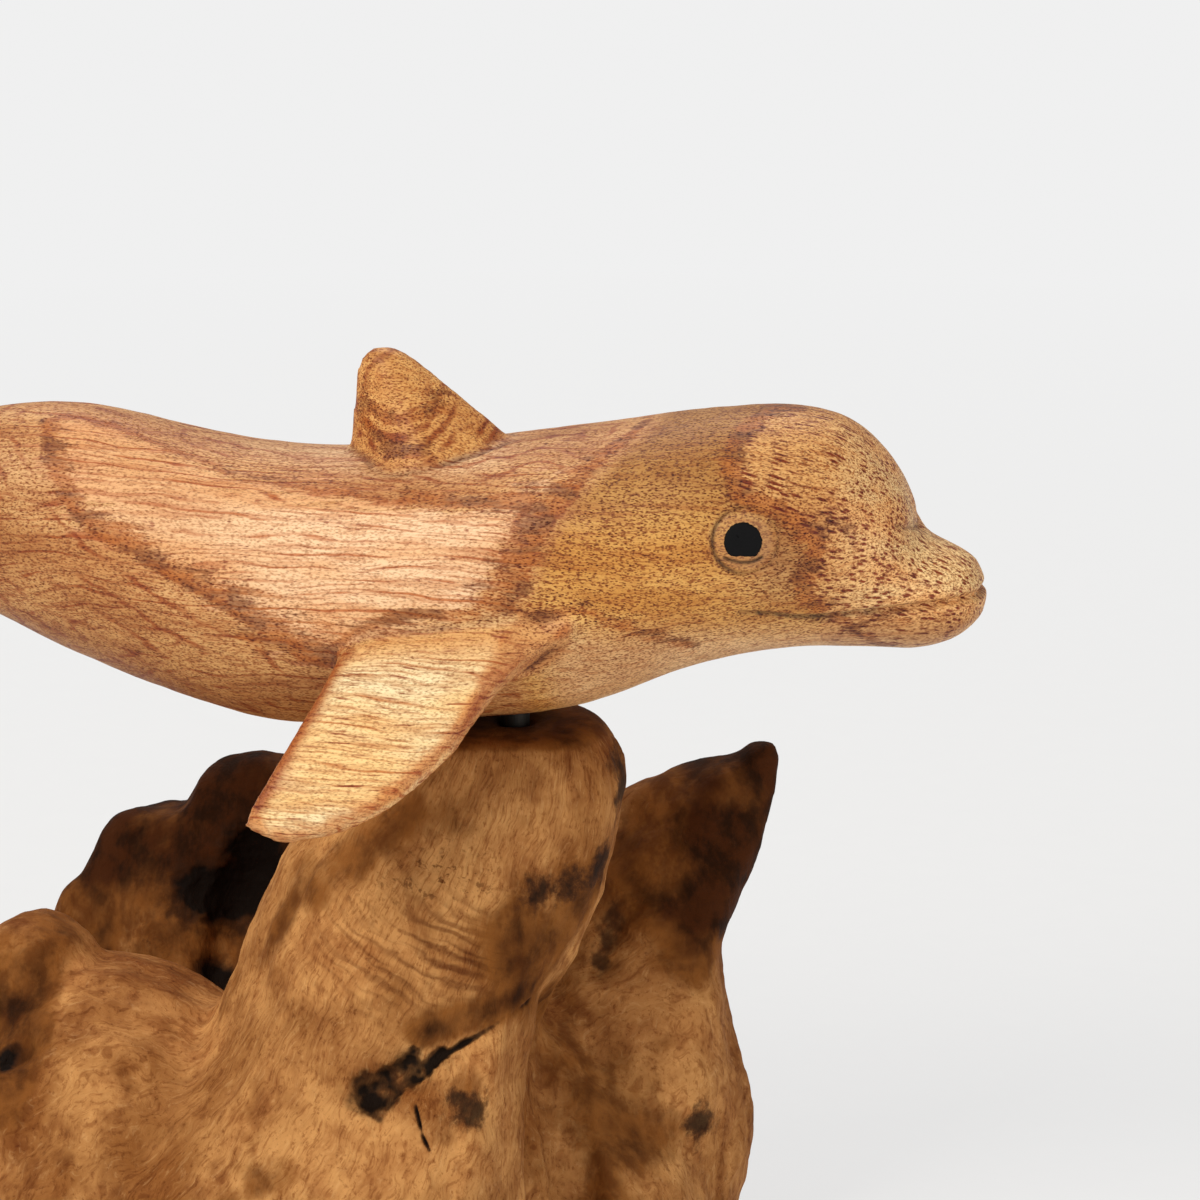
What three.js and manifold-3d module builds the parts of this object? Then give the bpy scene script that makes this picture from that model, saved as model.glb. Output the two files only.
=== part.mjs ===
import * as THREE from "three";
import { mergeVertices } from "three/addons/utils/BufferGeometryUtils.js";
import Module from "manifold-3d";

const wasm = await Module();
wasm.setup();

// Millimetres, +Z up. The beak points along +X and the dolphin's left side faces +Y.
// The origin lies on the table, below the axis of the pin.

// Fits
const CLEARANCE = 0.3;

// Root stump
const STUMP_HEIGHT = 84;
const STUMP_TOP_RADIUS = 13;
const STUMP_TOP_SHIFT = -1.5;
const BARK_WAVE = 0.045;
const ROOT_SIDES = 36;

// Steel pin
const PIN_DIAMETER = 4;
const PIN_IN_STUMP = 14;
const PIN_IN_BODY = 12;
const PIN_CHAMFER = 0.5;

// Dolphin body
const BODY_LENGTH = 178;
const BODY_DEPTH = 40;
const BODY_WIDTH = 39;
const PIN_FROM_BEAK = 64;
const BODY_FULLNESS = 2.15;
const BODY_SIDES = 36;
const BODY_RINGS = 57;

// Eye
const EYE_FROM_BEAK = 31;
const EYE_RISE_DEG = 7.5;
const EYE_RING_DIAMETER = 8.8;
const EYE_RING_WIDTH = 0.9;
const EYE_RING_DEPTH = 0.6;
const PUPIL_DIAMETER = 4.9;
const PUPIL_THICKNESS = 0.3;
const EYE_SIDES = 22;

// Mouth
const MOUTH_LENGTH = 31;
const MOUTH_OPENING = 0.9;
const MOUTH_DEPTH = 0.9;
const MOUTH_RISE = 2.9;
const MOUTH_ABOVE_CHIN = 7.9;

// Fins
const FIN_LEAN_DEG = 36;
const FIN_SIDES = 24;
const PECTORAL_FULLNESS = 4.5;
const DORSAL_FULLNESS = 1.5;
const FLUKE_FULLNESS = 2.4;
const FIN_RINGS = 14;
const FLUKE_TILT = 1.5;

// Body outline from the tail stock to the beak: place along the body, back line and belly line in
// shares of the depth, and half width in shares of the width.
const BODY_OUTLINE = [
  { along: 0, back: 0.605, belly: 0.57, half: 0.05 },
  { along: 0.056, back: 0.715, belly: 0.53, half: 0.128 },
  { along: 0.112, back: 0.825, belly: 0.48, half: 0.155 },
  { along: 0.174, back: 0.935, belly: 0.395, half: 0.206 },
  { along: 0.236, back: 1.008, belly: 0.295, half: 0.278 },
  { along: 0.303, back: 1.034, belly: 0.166, half: 0.347 },
  { along: 0.388, back: 0.962, belly: 0.043, half: 0.42 },
  { along: 0.472, back: 0.912, belly: -0.032, half: 0.468 },
  { along: 0.567, back: 0.935, belly: 0.01, half: 0.495 },
  { along: 0.64, back: 0.98, belly: 0.033, half: 0.5 },
  { along: 0.708, back: 1.03, belly: 0.1, half: 0.49 },
  { along: 0.781, back: 1.09, belly: 0.24, half: 0.458 },
  { along: 0.843, back: 1.117, belly: 0.308, half: 0.41 },
  { along: 0.888, back: 1.09, belly: 0.325, half: 0.356 },
  { along: 0.918, back: 0.985, belly: 0.325, half: 0.295 },
  { along: 0.936, back: 0.862, belly: 0.322, half: 0.245 },
  { along: 0.948, back: 0.722, belly: 0.325, half: 0.225 },
  { along: 0.976, back: 0.662, belly: 0.365, half: 0.19 },
  { along: 0.993, back: 0.605, belly: 0.437, half: 0.135 },
  { along: 1, back: 0.54, belly: 0.5, half: 0.066 },
];

// Pectoral fin, from its root in the body to its tip: front and rear edge as [x, z from mid body],
// distance out from the side of the body, and thickness.
const PECTORAL_FIN = [
  { front: [18, 0.6], rear: [-18, -3.8], out: -7.5, thick: 8 },
  { front: [14, -1.8], rear: [-19.4, -7], out: -2.5, thick: 7 },
  { front: [3.5, -9.4], rear: [-21.2, -11], out: 1.5, thick: 6 },
  { front: [-2.8, -16.7], rear: [-23.4, -15.5], out: 6.5, thick: 5.2 },
  { front: [-9.7, -22.8], rear: [-26.3, -20.9], out: 11.5, thick: 4.4 },
  { front: [-16.6, -26.5], rear: [-28.2, -24.4], out: 13.5, thick: 3.4 },
  { front: [-24, -28], rear: [-28.8, -26.2], out: 14.8, thick: 1.8 },
];

// Dorsal fin: height over the back, front edge, rear edge and thickness.
const DORSAL_FIN = [
  { rise: -6, front: 8, rear: -24, thick: 26 },
  { rise: -2.2, front: 4, rear: -22.8, thick: 21 },
  { rise: 1.8, front: 0.2, rear: -22.2, thick: 14.5 },
  { rise: 6.8, front: -5.8, rear: -21.6, thick: 9.4 },
  { rise: 10.4, front: -10.4, rear: -21.2, thick: 6.4 },
  { rise: 12.9, front: -13.8, rear: -20.3, thick: 4.4 },
  { rise: 13.9, front: -16, rear: -18.8, thick: 2.2 },
];

// Half of the flukes, from the middle to one tip: distance out, front edge and rear edge measured
// from the end of the tail stock, and thickness.
const FLUKE = [
  { out: 0, front: 18, rear: -0.8, thick: 6 },
  { out: 9, front: 13.5, rear: -3, thick: 4.6 },
  { out: 18, front: 8, rear: -5.2, thick: 3.4 },
  { out: 26, front: 1, rear: -7, thick: 2.4 },
  { out: 30, front: -4.5, rear: -7.4, thick: 1.5 },
];

// Limbs of the root. Heights are taken from the table, or down from the stump top where a drop is
// given. Every limb starts below the table and is cut level with it.
const BELOW_TABLE = -3;
const POST = [
  { z: BELOW_TABLE, at: [-35, -11], size: [37, 33] },
  { z: 14, at: [-32, -10], size: [34, 29] },
  { z: 32, at: [-22, -6], size: [25, 24] },
  { drop: 40, at: [-17, -3.5], size: [22.5, 21] },
  { drop: 31, at: [-13.5, -2.5], size: [23, 20] },
  { drop: 20, at: [-9.5, -1.5], size: [22.5, 18] },
  { drop: 9, at: [-4, -0.5], size: [19.5, 15.5] },
  { drop: 3, at: [-2, 0], size: [16, 13.8] },
  { drop: 0, at: [STUMP_TOP_SHIFT, 0], size: [STUMP_TOP_RADIUS, STUMP_TOP_RADIUS] },
];
const FRONT_LOBE = [
  { z: BELOW_TABLE, at: [-15, -22], size: [19, 21] },
  { z: 20, at: [-12, -20], size: [16, 17] },
  { z: 36, at: [-10, -16], size: [14.5, 13] },
  { z: 46, at: [-5, -12], size: [10.5, 9.5] },
  { z: 50.5, at: [-2.5, -10], size: [7, 6.5] },
  { z: 53, at: [-2, -9], size: [2, 2] },
];
const LEFT_ARM = [
  { z: BELOW_TABLE, at: [-62, -6], size: [26, 32] },
  { z: 15, at: [-61, -5], size: [25, 29] },
  { z: 30, at: [-57, -3], size: [22, 22] },
  { z: 38, at: [-57, -1], size: [17, 16] },
  { z: 42.5, at: [-58, 1], size: [10, 10] },
  { z: 44.5, at: [-58, 1], size: [3, 3] },
];
const LEFT_KNOB = [
  { z: BELOW_TABLE, at: [-74, 4], size: [15, 17] },
  { z: 20, at: [-73, 4], size: [13, 15] },
  { z: 36, at: [-71.5, 4], size: [10.5, 12] },
  { z: 45, at: [-70, 4], size: [8.5, 9] },
  { z: 48.5, at: [-69.5, 4], size: [6, 6.5] },
  { z: 50.5, at: [-69.5, 4], size: [2, 2] },
];
const BACK_RIDGE = [
  { z: BELOW_TABLE, at: [-53, 28], size: [34, 21] },
  { z: 25, at: [-52, 30], size: [30, 15] },
  { drop: 43, at: [-51, 32], size: [25, 11] },
  { drop: 34, at: [-50, 33], size: [20.5, 8.5] },
  { drop: 26, at: [-48, 34], size: [17, 6.5] },
  { drop: 20.5, at: [-44.5, 34], size: [9, 4.5] },
  { drop: 18.3, at: [-44, 34], size: [5, 2.5] },
];
const HORN = [
  { z: BELOW_TABLE, at: [2, 20], size: [25, 24] },
  { z: 15, at: [3, 20], size: [25.5, 22] },
  { z: 30, at: [5, 21], size: [22.5, 18] },
  { z: 44, at: [9, 25], size: [17, 13] },
  { drop: 29, at: [15, 30], size: [14.5, 9] },
  { drop: 20, at: [20.5, 34], size: [10.5, 6] },
  { drop: 15.5, at: [26.6, 35.5], size: [5, 4] },
  { drop: 12.6, at: [29, 36], size: [1.8, 1.8] },
];
const HEART = [
  { z: BELOW_TABLE, at: [-24, 8], size: [48, 36] },
  { z: 14, at: [-22, 9], size: [44, 33] },
  { z: 26, at: [-18, 10], size: [34, 26] },
  { z: 36, at: [-12, 12], size: [22, 18] },
  { z: 42, at: [-10, 12], size: [10, 8] },
];
const LIMBS = [FRONT_LOBE, LEFT_ARM, LEFT_KNOB, BACK_RIDGE, HORN, HEART];
const LIMB_RINGS = 14;
const TABLE_REACH = 400;

// Waves round a limb: how many, how much of the bark's wave, and the height of one radian of their turn
const WAVES = [
  { count: 3, share: 1, pitch: 8 },
  { count: 5, share: -0.7, pitch: -11 },
  { count: 9, share: 0.35, pitch: 24 },
];

// Wood that is missing, in the same form as the limbs: the gash in the front lobe with the crack that
// runs up from it, the furrow beside the lobe, the hollow before the ridge, the crevice before the horn
// and the hole in the knob.
const GASH = [
  { z: 37, at: [-15.6, -27], size: [1.2, 1.4] },
  { z: 38.6, at: [-14.8, -26.6], size: [3.4, 2.6] },
  { z: 40.4, at: [-12.5, -25.8], size: [3.8, 2.6] },
  { z: 42.2, at: [-9.5, -24.8], size: [3.4, 2.2] },
  { z: 43.8, at: [-6, -23.6], size: [3, 1.7] },
  { z: 46.6, at: [0, -19.8], size: [2, 1.3] },
  { z: 48, at: [2.5, -17.2], size: [1.6, 1.2] },
  { z: 49, at: [5, -13.4], size: [0.8, 0.8] },
];
const FURROW = [
  { z: 8, at: [11, -11], size: [1.5, 1.5] },
  { z: 14, at: [10.5, -9.5], size: [4, 3.6] },
  { z: 22, at: [9.5, -8], size: [4.6, 4] },
  { z: 29, at: [8, -5], size: [4.6, 4] },
  { z: 37, at: [6, -2.4], size: [4.2, 3.8] },
  { z: 44, at: [5.2, -5], size: [2.6, 3] },
  { z: 48, at: [6, -8], size: [1, 1] },
];
const HOLLOW = [
  { drop: 48, at: [-48, 20], size: [2, 2] },
  { drop: 43, at: [-46.5, 22], size: [4.2, 3.4] },
  { drop: 36, at: [-45, 24], size: [4.8, 3.8] },
  { drop: 29, at: [-43.8, 25], size: [4, 3.2] },
  { drop: 24, at: [-43, 26], size: [1.4, 1.4] },
];
const CREVICE = [
  { drop: 42, at: [9.8, 11], size: [1.2, 1.2] },
  { drop: 38, at: [10.6, 13.6], size: [2.4, 2.6] },
  { drop: 33.5, at: [12, 16.6], size: [2.4, 2.6] },
  { drop: 30, at: [14.6, 19], size: [1, 1] },
];
const KNOB_HOLE = [
  { z: 34, at: [-67.5, -15], size: [1, 1.6] },
  { z: 36, at: [-67, -14.6], size: [2.2, 3] },
  { z: 38.5, at: [-66.6, -13.8], size: [2, 3] },
  { z: 40.5, at: [-66.4, -13], size: [0.8, 1.4] },
];
const HOLLOWS = [GASH, FURROW, HOLLOW, CREVICE, KNOB_HOLE];

// Broken top of the ridge as [x, drop from the stump top], and how far back and how deep it goes
const RIDGE_BREAK = [
  [-84, 46], [-76, 42], [-70, 35.5], [-68.8, 30], [-67, 27.6], [-55.4, 27], [-53.8, 21.5], [-50, 19],
  [-40, 17.5],
];
const RIDGE_BREAK_START = 14;
const RIDGE_BREAK_DEPTH = 40;

function solid(geometry) {
  const bare = geometry.clone();
  bare.deleteAttribute("normal");
  bare.deleteAttribute("uv");
  const merged = mergeVertices(bare);
  const vertProperties = new Float32Array(merged.attributes.position.array);
  const triVerts = new Uint32Array(merged.index.array);
  return new wasm.Manifold(new wasm.Mesh({ numProp: 3, vertProperties, triVerts }));
}

function shape(body) {
  const mesh = body.getMesh();
  const geometry = new THREE.BufferGeometry();
  geometry.setAttribute("position", new THREE.BufferAttribute(mesh.vertProperties, 3));
  geometry.setIndex(new THREE.BufferAttribute(mesh.triVerts, 1));
  geometry.computeVertexNormals();
  return geometry;
}

// A closed skin over a row of rings, its ends filled with fans.
function skin(rings, outward) {
  const count = rings[0].length;
  const points = rings.flat();
  const index = [];
  const face = (a, b, c) => (outward ? index.push(a, b, c) : index.push(a, c, b));
  for (let row = 0; row + 1 < rings.length; row += 1) {
    for (let i = 0; i < count; i += 1) {
      const a = row * count + i;
      const b = row * count + ((i + 1) % count);
      face(a, b, b + count);
      face(a, b + count, a + count);
    }
  }
  const last = (rings.length - 1) * count;
  points.push(middle(rings[0]), middle(rings[rings.length - 1]));
  for (let i = 0; i < count; i += 1) {
    const next = (i + 1) % count;
    face(points.length - 2, next, i);
    face(points.length - 1, last + i, last + next);
  }
  return new THREE.BufferGeometry().setFromPoints(points).setIndex(index);
}

function middle(ring) {
  const sum = ring.reduce((total, point) => total.add(point), new THREE.Vector3());
  return sum.divideScalar(ring.length);
}

function smooth(vectors) {
  return new THREE.CatmullRomCurve3(vectors, false, "catmullrom", 0.5);
}

function turns(sides) {
  return Array.from({ length: sides }, (_, i) => (2 * Math.PI * i) / sides);
}

function steps(count) {
  return Array.from({ length: count + 1 }, (_, i) => i / count);
}

// Body
const tailEnd = PIN_FROM_BEAK - BODY_LENGTH;
const profile = smooth(BODY_OUTLINE.map(({ along, back, belly }) => (
  new THREE.Vector3(tailEnd + along * BODY_LENGTH, back * BODY_DEPTH, belly * BODY_DEPTH))));
const girth = smooth(BODY_OUTLINE.map(({ along, half }) => (
  new THREE.Vector3(tailEnd + along * BODY_LENGTH, half * BODY_WIDTH, 0))));

function sectionFrom(t) {
  const line = profile.getPoint(t);
  return { x: line.x, top: line.y, bottom: line.z, half: girth.getPoint(t).y };
}

function sectionAt(x) {
  let low = 0;
  let high = 1;
  for (let i = 0; i < 40; i += 1) {
    const t = (low + high) / 2;
    if (profile.getPoint(t).x < x) low = t;
    else high = t;
  }
  return sectionFrom(low);
}

// The body hangs over the stump so that its lowest line over the level top just clears it.
function lowestOverStump() {
  const reach = STUMP_TOP_RADIUS + Math.abs(STUMP_TOP_SHIFT);
  return Math.min(...steps(40).map((s) => sectionAt(reach * (2 * s - 1)).bottom));
}
const lift = STUMP_HEIGHT + CLEARANCE - lowestOverStump();

function rounded(value, fullness) {
  return Math.sign(value) * Math.abs(value) ** (2 / fullness);
}

function sidePoint({ x, top, bottom, half }, angle) {
  const y = half * rounded(Math.cos(angle), BODY_FULLNESS);
  const z = (top + bottom) / 2 + ((top - bottom) / 2) * rounded(Math.sin(angle), BODY_FULLNESS);
  return new THREE.Vector3(x, y, z + lift);
}

function bodyLoft(inset) {
  const rings = steps(BODY_RINGS).map((t) => {
    const { x, top, bottom, half } = sectionFrom(t);
    const thin = Math.min(inset, half / 2, (top - bottom) / 4);
    const section = { x, top: top - thin, bottom: bottom + thin, half: half - thin };
    return turns(BODY_SIDES).map((angle) => sidePoint(section, angle));
  });
  return solid(skin(rings, true));
}

// A fin: lens-shaped slices between a front and a rear edge, thick along one direction.
function blade(slices, across, fullness) {
  const fronts = smooth(slices.map((slice) => slice.front));
  const rears = smooth(slices.map((slice) => slice.rear));
  const depths = smooth(slices.map((slice) => new THREE.Vector3(slice.thick, 0, 0)));
  const rings = steps(FIN_RINGS).map((t) => {
    const front = fronts.getPoint(t);
    const rear = rears.getPoint(t);
    const half = depths.getPoint(t).x / 2;
    return turns(FIN_SIDES).map((angle) => {
      const back = (1 - rounded(Math.cos(angle), fullness)) / 2;
      const proud = half * rounded(Math.sin(angle), fullness);
      return front.clone().lerp(rear, back).addScaledVector(across, proud);
    });
  });
  const geometry = skin(rings, true);
  return solid(facingOut(geometry) ? geometry : skin(rings, false));
}

function facingOut(geometry) {
  const at = (i) => new THREE.Vector3().fromBufferAttribute(geometry.attributes.position, i);
  const index = geometry.index.array;
  let volume = 0;
  for (let i = 0; i < index.length; i += 3) {
    volume += at(index[i]).dot(at(index[i + 1]).cross(at(index[i + 2])));
  }
  return volume > 0;
}

function pectoralFin(side) {
  const root = sectionAt(0);
  const mid = lift + (root.top + root.bottom) / 2;
  const lean = THREE.MathUtils.degToRad(FIN_LEAN_DEG);
  const across = new THREE.Vector3(0, side * Math.cos(lean), Math.sin(lean));
  const place = ([x, z], out) => new THREE.Vector3(x, side * (root.half + out), mid + z);
  const slices = PECTORAL_FIN.map(({ front, rear, out, thick }) => (
    { front: place(front, out), rear: place(rear, out), thick }));
  return blade(slices, across, PECTORAL_FULLNESS);
}

function dorsalFin() {
  const back = lift + sectionAt(DORSAL_FIN[0].rear).top;
  const place = (x, rise) => new THREE.Vector3(x, 0, back + rise);
  const slices = DORSAL_FIN.map(({ rise, front, rear, thick }) => (
    { front: place(front, rise), rear: place(rear, rise), thick }));
  return blade(slices, new THREE.Vector3(0, 1, 0), DORSAL_FULLNESS);
}

function flukes() {
  const stock = sectionAt(tailEnd);
  const level = lift + (stock.top + stock.bottom) / 2;
  const slice = ({ out, front, rear, thick }, side) => ({
    front: new THREE.Vector3(tailEnd + front, side * out, level + FLUKE_TILT),
    rear: new THREE.Vector3(tailEnd + rear, side * out, level - FLUKE_TILT),
    thick,
  });
  const right = FLUKE.slice(1).reverse().map((half) => slice(half, -1));
  const left = FLUKE.map((half) => slice(half, 1));
  return blade([...right, ...left], new THREE.Vector3(0, 0, 1), FLUKE_FULLNESS);
}

// The mouth is a groove round the beak, as deep as the wood taken off between skin and core.
function mouthGroove() {
  const beak = PIN_FROM_BEAK;
  const corner = beak - MOUTH_LENGTH;
  const chin = lift + sectionAt(corner).bottom;
  const back = chin + MOUTH_ABOVE_CHIN;
  const tip = back + MOUTH_RISE;
  const outline = new THREE.Shape();
  outline.moveTo(corner, back);
  outline.quadraticCurveTo((corner + beak) / 2, back - MOUTH_OPENING / 2, beak + 1, tip - MOUTH_OPENING);
  outline.lineTo(beak + 1, tip);
  outline.quadraticCurveTo((corner + beak) / 2, back + MOUTH_OPENING / 2, corner, back + CLEARANCE);
  const options = { depth: BODY_WIDTH, bevelEnabled: false, curveSegments: 8 };
  const slab = new THREE.ExtrudeGeometry(outline, options);
  slab.rotateX(Math.PI / 2);
  slab.translate(0, BODY_WIDTH / 2, 0);
  return solid(slab).subtract(bodyLoft(MOUTH_DEPTH));
}

// Eye and pupil are turned round the line square to the skin at the eye.
function eyeFrame(side) {
  const rise = THREE.MathUtils.degToRad(EYE_RISE_DEG);
  const angle = side > 0 ? rise : Math.PI - rise;
  const x = PIN_FROM_BEAK - EYE_FROM_BEAK;
  const reach = EYE_RING_DIAMETER / 2;
  const front = sidePoint(sectionAt(x + reach), angle);
  const rear = sidePoint(sectionAt(x - reach), angle);
  const above = sidePoint(sectionAt(x), angle - side * 0.2);
  const below = sidePoint(sectionAt(x), angle + side * 0.2);
  const out = front.sub(rear).cross(above.sub(below)).normalize();
  if (out.y * side < 0) out.negate();
  return { centre: sidePoint(sectionAt(x), angle), out };
}

function turnedAtEye(points, side) {
  const { centre, out } = eyeFrame(side);
  const geometry = new THREE.LatheGeometry(points.map(([r, z]) => new THREE.Vector2(r, z)), EYE_SIDES);
  geometry.applyQuaternion(new THREE.Quaternion().setFromUnitVectors(new THREE.Vector3(0, 1, 0), out));
  geometry.translate(centre.x, centre.y, centre.z);
  return solid(geometry);
}

function eyeCut(side) {
  const outer = EYE_RING_DIAMETER / 2;
  const inner = outer - EYE_RING_WIDTH;
  const high = EYE_RING_WIDTH;
  const ring = [[inner, -EYE_RING_DEPTH], [outer, -EYE_RING_DEPTH], [outer, high], [inner, high]];
  const floor = -PUPIL_THICKNESS - CLEARANCE;
  const seat = PUPIL_DIAMETER / 2 + CLEARANCE;
  const recess = [[0, floor], [seat, floor], [seat, high], [0, high]];
  return turnedAtEye([...ring, ring[0]], side).add(turnedAtEye(recess, side));
}

function pupil(side) {
  const radius = PUPIL_DIAMETER / 2;
  return turnedAtEye([[0, -PUPIL_THICKNESS], [radius, -PUPIL_THICKNESS], [radius, 0], [0, 0]], side);
}

// Pin
const pinFoot = STUMP_HEIGHT - PIN_IN_STUMP;
const pinTop = lift + sectionAt(0).bottom + PIN_IN_BODY;

function upright(points, sides) {
  const geometry = new THREE.LatheGeometry(points.map(([r, z]) => new THREE.Vector2(r, z)), sides);
  return solid(geometry.rotateX(Math.PI / 2));
}

function pin() {
  const radius = PIN_DIAMETER / 2;
  const tip = radius - PIN_CHAMFER;
  return upright([
    [0, pinFoot], [tip, pinFoot], [radius, pinFoot + PIN_CHAMFER],
    [radius, pinTop - PIN_CHAMFER], [tip, pinTop], [0, pinTop],
  ], 32);
}

function pinHole() {
  const radius = PIN_DIAMETER / 2 + CLEARANCE;
  const floor = pinFoot - CLEARANCE;
  const roof = pinTop + CLEARANCE;
  return upright([[0, floor], [radius, floor], [radius, roof], [0, roof]], 32);
}

// Root
function heightOf({ z, drop }) {
  return drop === undefined ? z : STUMP_HEIGHT - drop;
}

function ripple(angle, z, phase) {
  return WAVES.reduce((sum, { count, share, pitch }) => (
    sum + share * Math.sin(count * angle + z / pitch + phase)), 0);
}

function limb(sections, phase, wave) {
  const centres = smooth(sections.map((s) => new THREE.Vector3(s.at[0], s.at[1], heightOf(s))));
  const sizes = smooth(sections.map((s) => new THREE.Vector3(s.size[0], s.size[1], 0)));
  const rings = steps(LIMB_RINGS).map((t) => {
    const { x, y, z } = centres.getPoint(t);
    const size = sizes.getPoint(t);
    return turns(ROOT_SIDES).map((angle) => {
      const swell = 1 + wave(t) * ripple(angle, z, phase);
      return new THREE.Vector3(
        x + size.x * swell * Math.cos(angle), y + size.y * swell * Math.sin(angle), z);
    });
  });
  return solid(skin(rings, true));
}

// What is broken off the top of the ridge
function ridgeBreak() {
  const outline = new THREE.Shape();
  const [first] = RIDGE_BREAK;
  const last = RIDGE_BREAK[RIDGE_BREAK.length - 1];
  outline.moveTo(first[0], STUMP_HEIGHT);
  RIDGE_BREAK.forEach(([x, drop]) => outline.lineTo(x, STUMP_HEIGHT - drop));
  outline.lineTo(last[0], STUMP_HEIGHT);
  const slab = new THREE.ExtrudeGeometry(outline, { depth: RIDGE_BREAK_DEPTH, bevelEnabled: false });
  slab.rotateX(Math.PI / 2);
  slab.translate(0, RIDGE_BREAK_START + RIDGE_BREAK_DEPTH, 0);
  return solid(slab);
}

function root() {
  const even = () => BARK_WAVE;
  const fading = (t) => BARK_WAVE * (1 - t);
  const under = new THREE.BoxGeometry(TABLE_REACH, TABLE_REACH, TABLE_REACH);
  under.translate(0, 0, -TABLE_REACH / 2);
  const grow = (mass, sections, i) => mass.add(limb(sections, 1.3 * i, even));
  const hollow = (mass, sections, i) => mass.subtract(limb(sections, i, even));
  const grown = LIMBS.reduce(grow, limb(POST, 0, fading));
  const worn = HOLLOWS.reduce(hollow, grown.subtract(ridgeBreak()));
  return worn.subtract(solid(under)).subtract(pinHole());
}

function dolphin() {
  const carved = bodyLoft(0).add(dorsalFin()).add(flukes()).add(pectoralFin(1)).add(pectoralFin(-1));
  return carved.subtract(pinHole()).subtract(mouthGroove()).subtract(eyeCut(1)).subtract(eyeCut(-1));
}

function piece(name, body, color, roughness, metalness) {
  const material = new THREE.MeshStandardMaterial({ color, roughness, metalness });
  const mesh = new THREE.Mesh(shape(body), material);
  mesh.name = name;
  return mesh;
}

const assembly = new THREE.Group();
assembly.name = "wooden_dolphin";
assembly.add(
  piece("root_base", root(), 0x9a6431, 0.75, 0),
  piece("mounting_pin", pin(), 0xa9a9a4, 0.35, 1),
  piece("dolphin_body", dolphin(), 0xc68a4e, 0.5, 0),
  piece("right_pupil", pupil(-1), 0x14110f, 0.6, 0),
  piece("left_pupil", pupil(1), 0x14110f, 0.6, 0),
);

export default assembly;
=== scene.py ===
import math

import bmesh
import bpy
import numpy as np
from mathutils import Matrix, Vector, noise
from mathutils.bvhtree import BVHTree


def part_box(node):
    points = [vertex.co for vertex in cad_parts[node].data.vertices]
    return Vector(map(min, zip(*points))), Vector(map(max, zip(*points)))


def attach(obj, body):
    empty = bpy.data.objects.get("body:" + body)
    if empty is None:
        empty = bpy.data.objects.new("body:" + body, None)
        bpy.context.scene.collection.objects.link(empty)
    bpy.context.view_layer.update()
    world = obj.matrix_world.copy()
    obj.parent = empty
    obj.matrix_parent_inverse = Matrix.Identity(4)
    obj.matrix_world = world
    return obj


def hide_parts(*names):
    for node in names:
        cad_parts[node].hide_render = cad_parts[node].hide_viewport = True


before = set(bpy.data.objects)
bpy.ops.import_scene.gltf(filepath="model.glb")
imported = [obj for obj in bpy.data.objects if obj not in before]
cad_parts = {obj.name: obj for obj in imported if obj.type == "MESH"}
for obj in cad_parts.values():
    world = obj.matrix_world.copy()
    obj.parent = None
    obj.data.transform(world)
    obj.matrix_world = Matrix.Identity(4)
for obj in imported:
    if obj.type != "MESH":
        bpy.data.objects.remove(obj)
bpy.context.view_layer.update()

# Lengths are written in millimetres and leave in metres.
MM = 0.001

# Camera: the photograph's viewing angle
VIEW_AZIMUTH = math.radians(10)
VIEW_ELEVATION = math.radians(15.5)
VIEW_DISTANCE = 560
VIEW_TARGET = (11.7, 0, 101.2)
SENSOR = 36
LENS = 125.4

# Light: place, size, power and colour of each lamp, and the level of the sky
LAMPS = {
    "key": ((-640, -720, 860), 520, 9.8, (1, 0.95, 0.87)),
    "fill": ((760, -620, 120), 700, 4.4, (1, 0.97, 0.93)),
    "top": ((-160, 560, 900), 700, 4.6, (1, 0.97, 0.93)),
}
SKY = 0.36
BACKGROUND = 0.87

# Floor: up to the near distance the camera sees a share of plain background on it, at the far one all
FLOOR_SIZE = 12000
FLOOR_NEAR = 220
FLOOR_FAR = 750
NEAR_SHARE = 0.72

# Nets of the two wooden pieces, and the steps and rounds that smooth them
WELD = 0.001
CARVING_NET = 0.7
ROOT_NET = 0.9
RELAX = 0.5
SWELL = -0.53
FACET_ROUNDS = 12
BODY_ROUNDS = 28
EYE_ROUNDS = 30
MOUTH_ROUNDS = 24
ROOT_ROUNDS = 14
REFINE_ROUNDS = 5
BEND_ROUNDS = 6
# Shares of the reach of a carved line within which the net is halved, and halved again
CARVING_REACHES = (1.5, 1)
ROOT_REACHES = (1.4, 0.9)
# Right and left
SIDES = (-1, 1)

# Lines on the dolphin's side as (x, height): the outline of the pale tongue of wood, from its tail
# end along the lower side, up the neck and back under the dorsal fin.
TONGUE_LOW = [(-63, 124), (-61.5, 121), (-59, 116.5), (-55.5, 112.5), (-50, 110), (-44, 107),
              (-37.5, 104), (-32, 101), (-27, 98), (-22.5, 96), (-10, 97), (-1, 101)]
NECK = [(2.5, 104.6), (4.2, 107), (5.4, 111), (7.4, 116), (10, 119.4), (13.2, 122.6), (15.6, 124.6),
        (18, 126.3)]
TONGUE_TOP = [(5.5, 120.2), (0.5, 118.4), (-6, 117.4), (-13, 117.1), (-20, 117.3), (-27, 117.7),
              (-34, 118.5), (-41, 120), (-48, 122), (-54, 123.6), (-59, 124.4), (-63, 124)]
# Widths of the dark band along the tongue's edge, inside the tongue and outside it
LOW_BAND = (2.5, 0.9)
# Near the fin the band is wider inside the tongue: painted shade beside the fin, on top of the wood's band
LOW_SWELL = 2
LOW_SWELLS = (-40, -28)
NECK_BAND = (4.6, 1.5)
NECK_TAPER = 0.4
NECK_FADE = 3.2
TOP_BAND = (0.8, 1.4)
TOP_STRENGTH = 0.5
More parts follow.
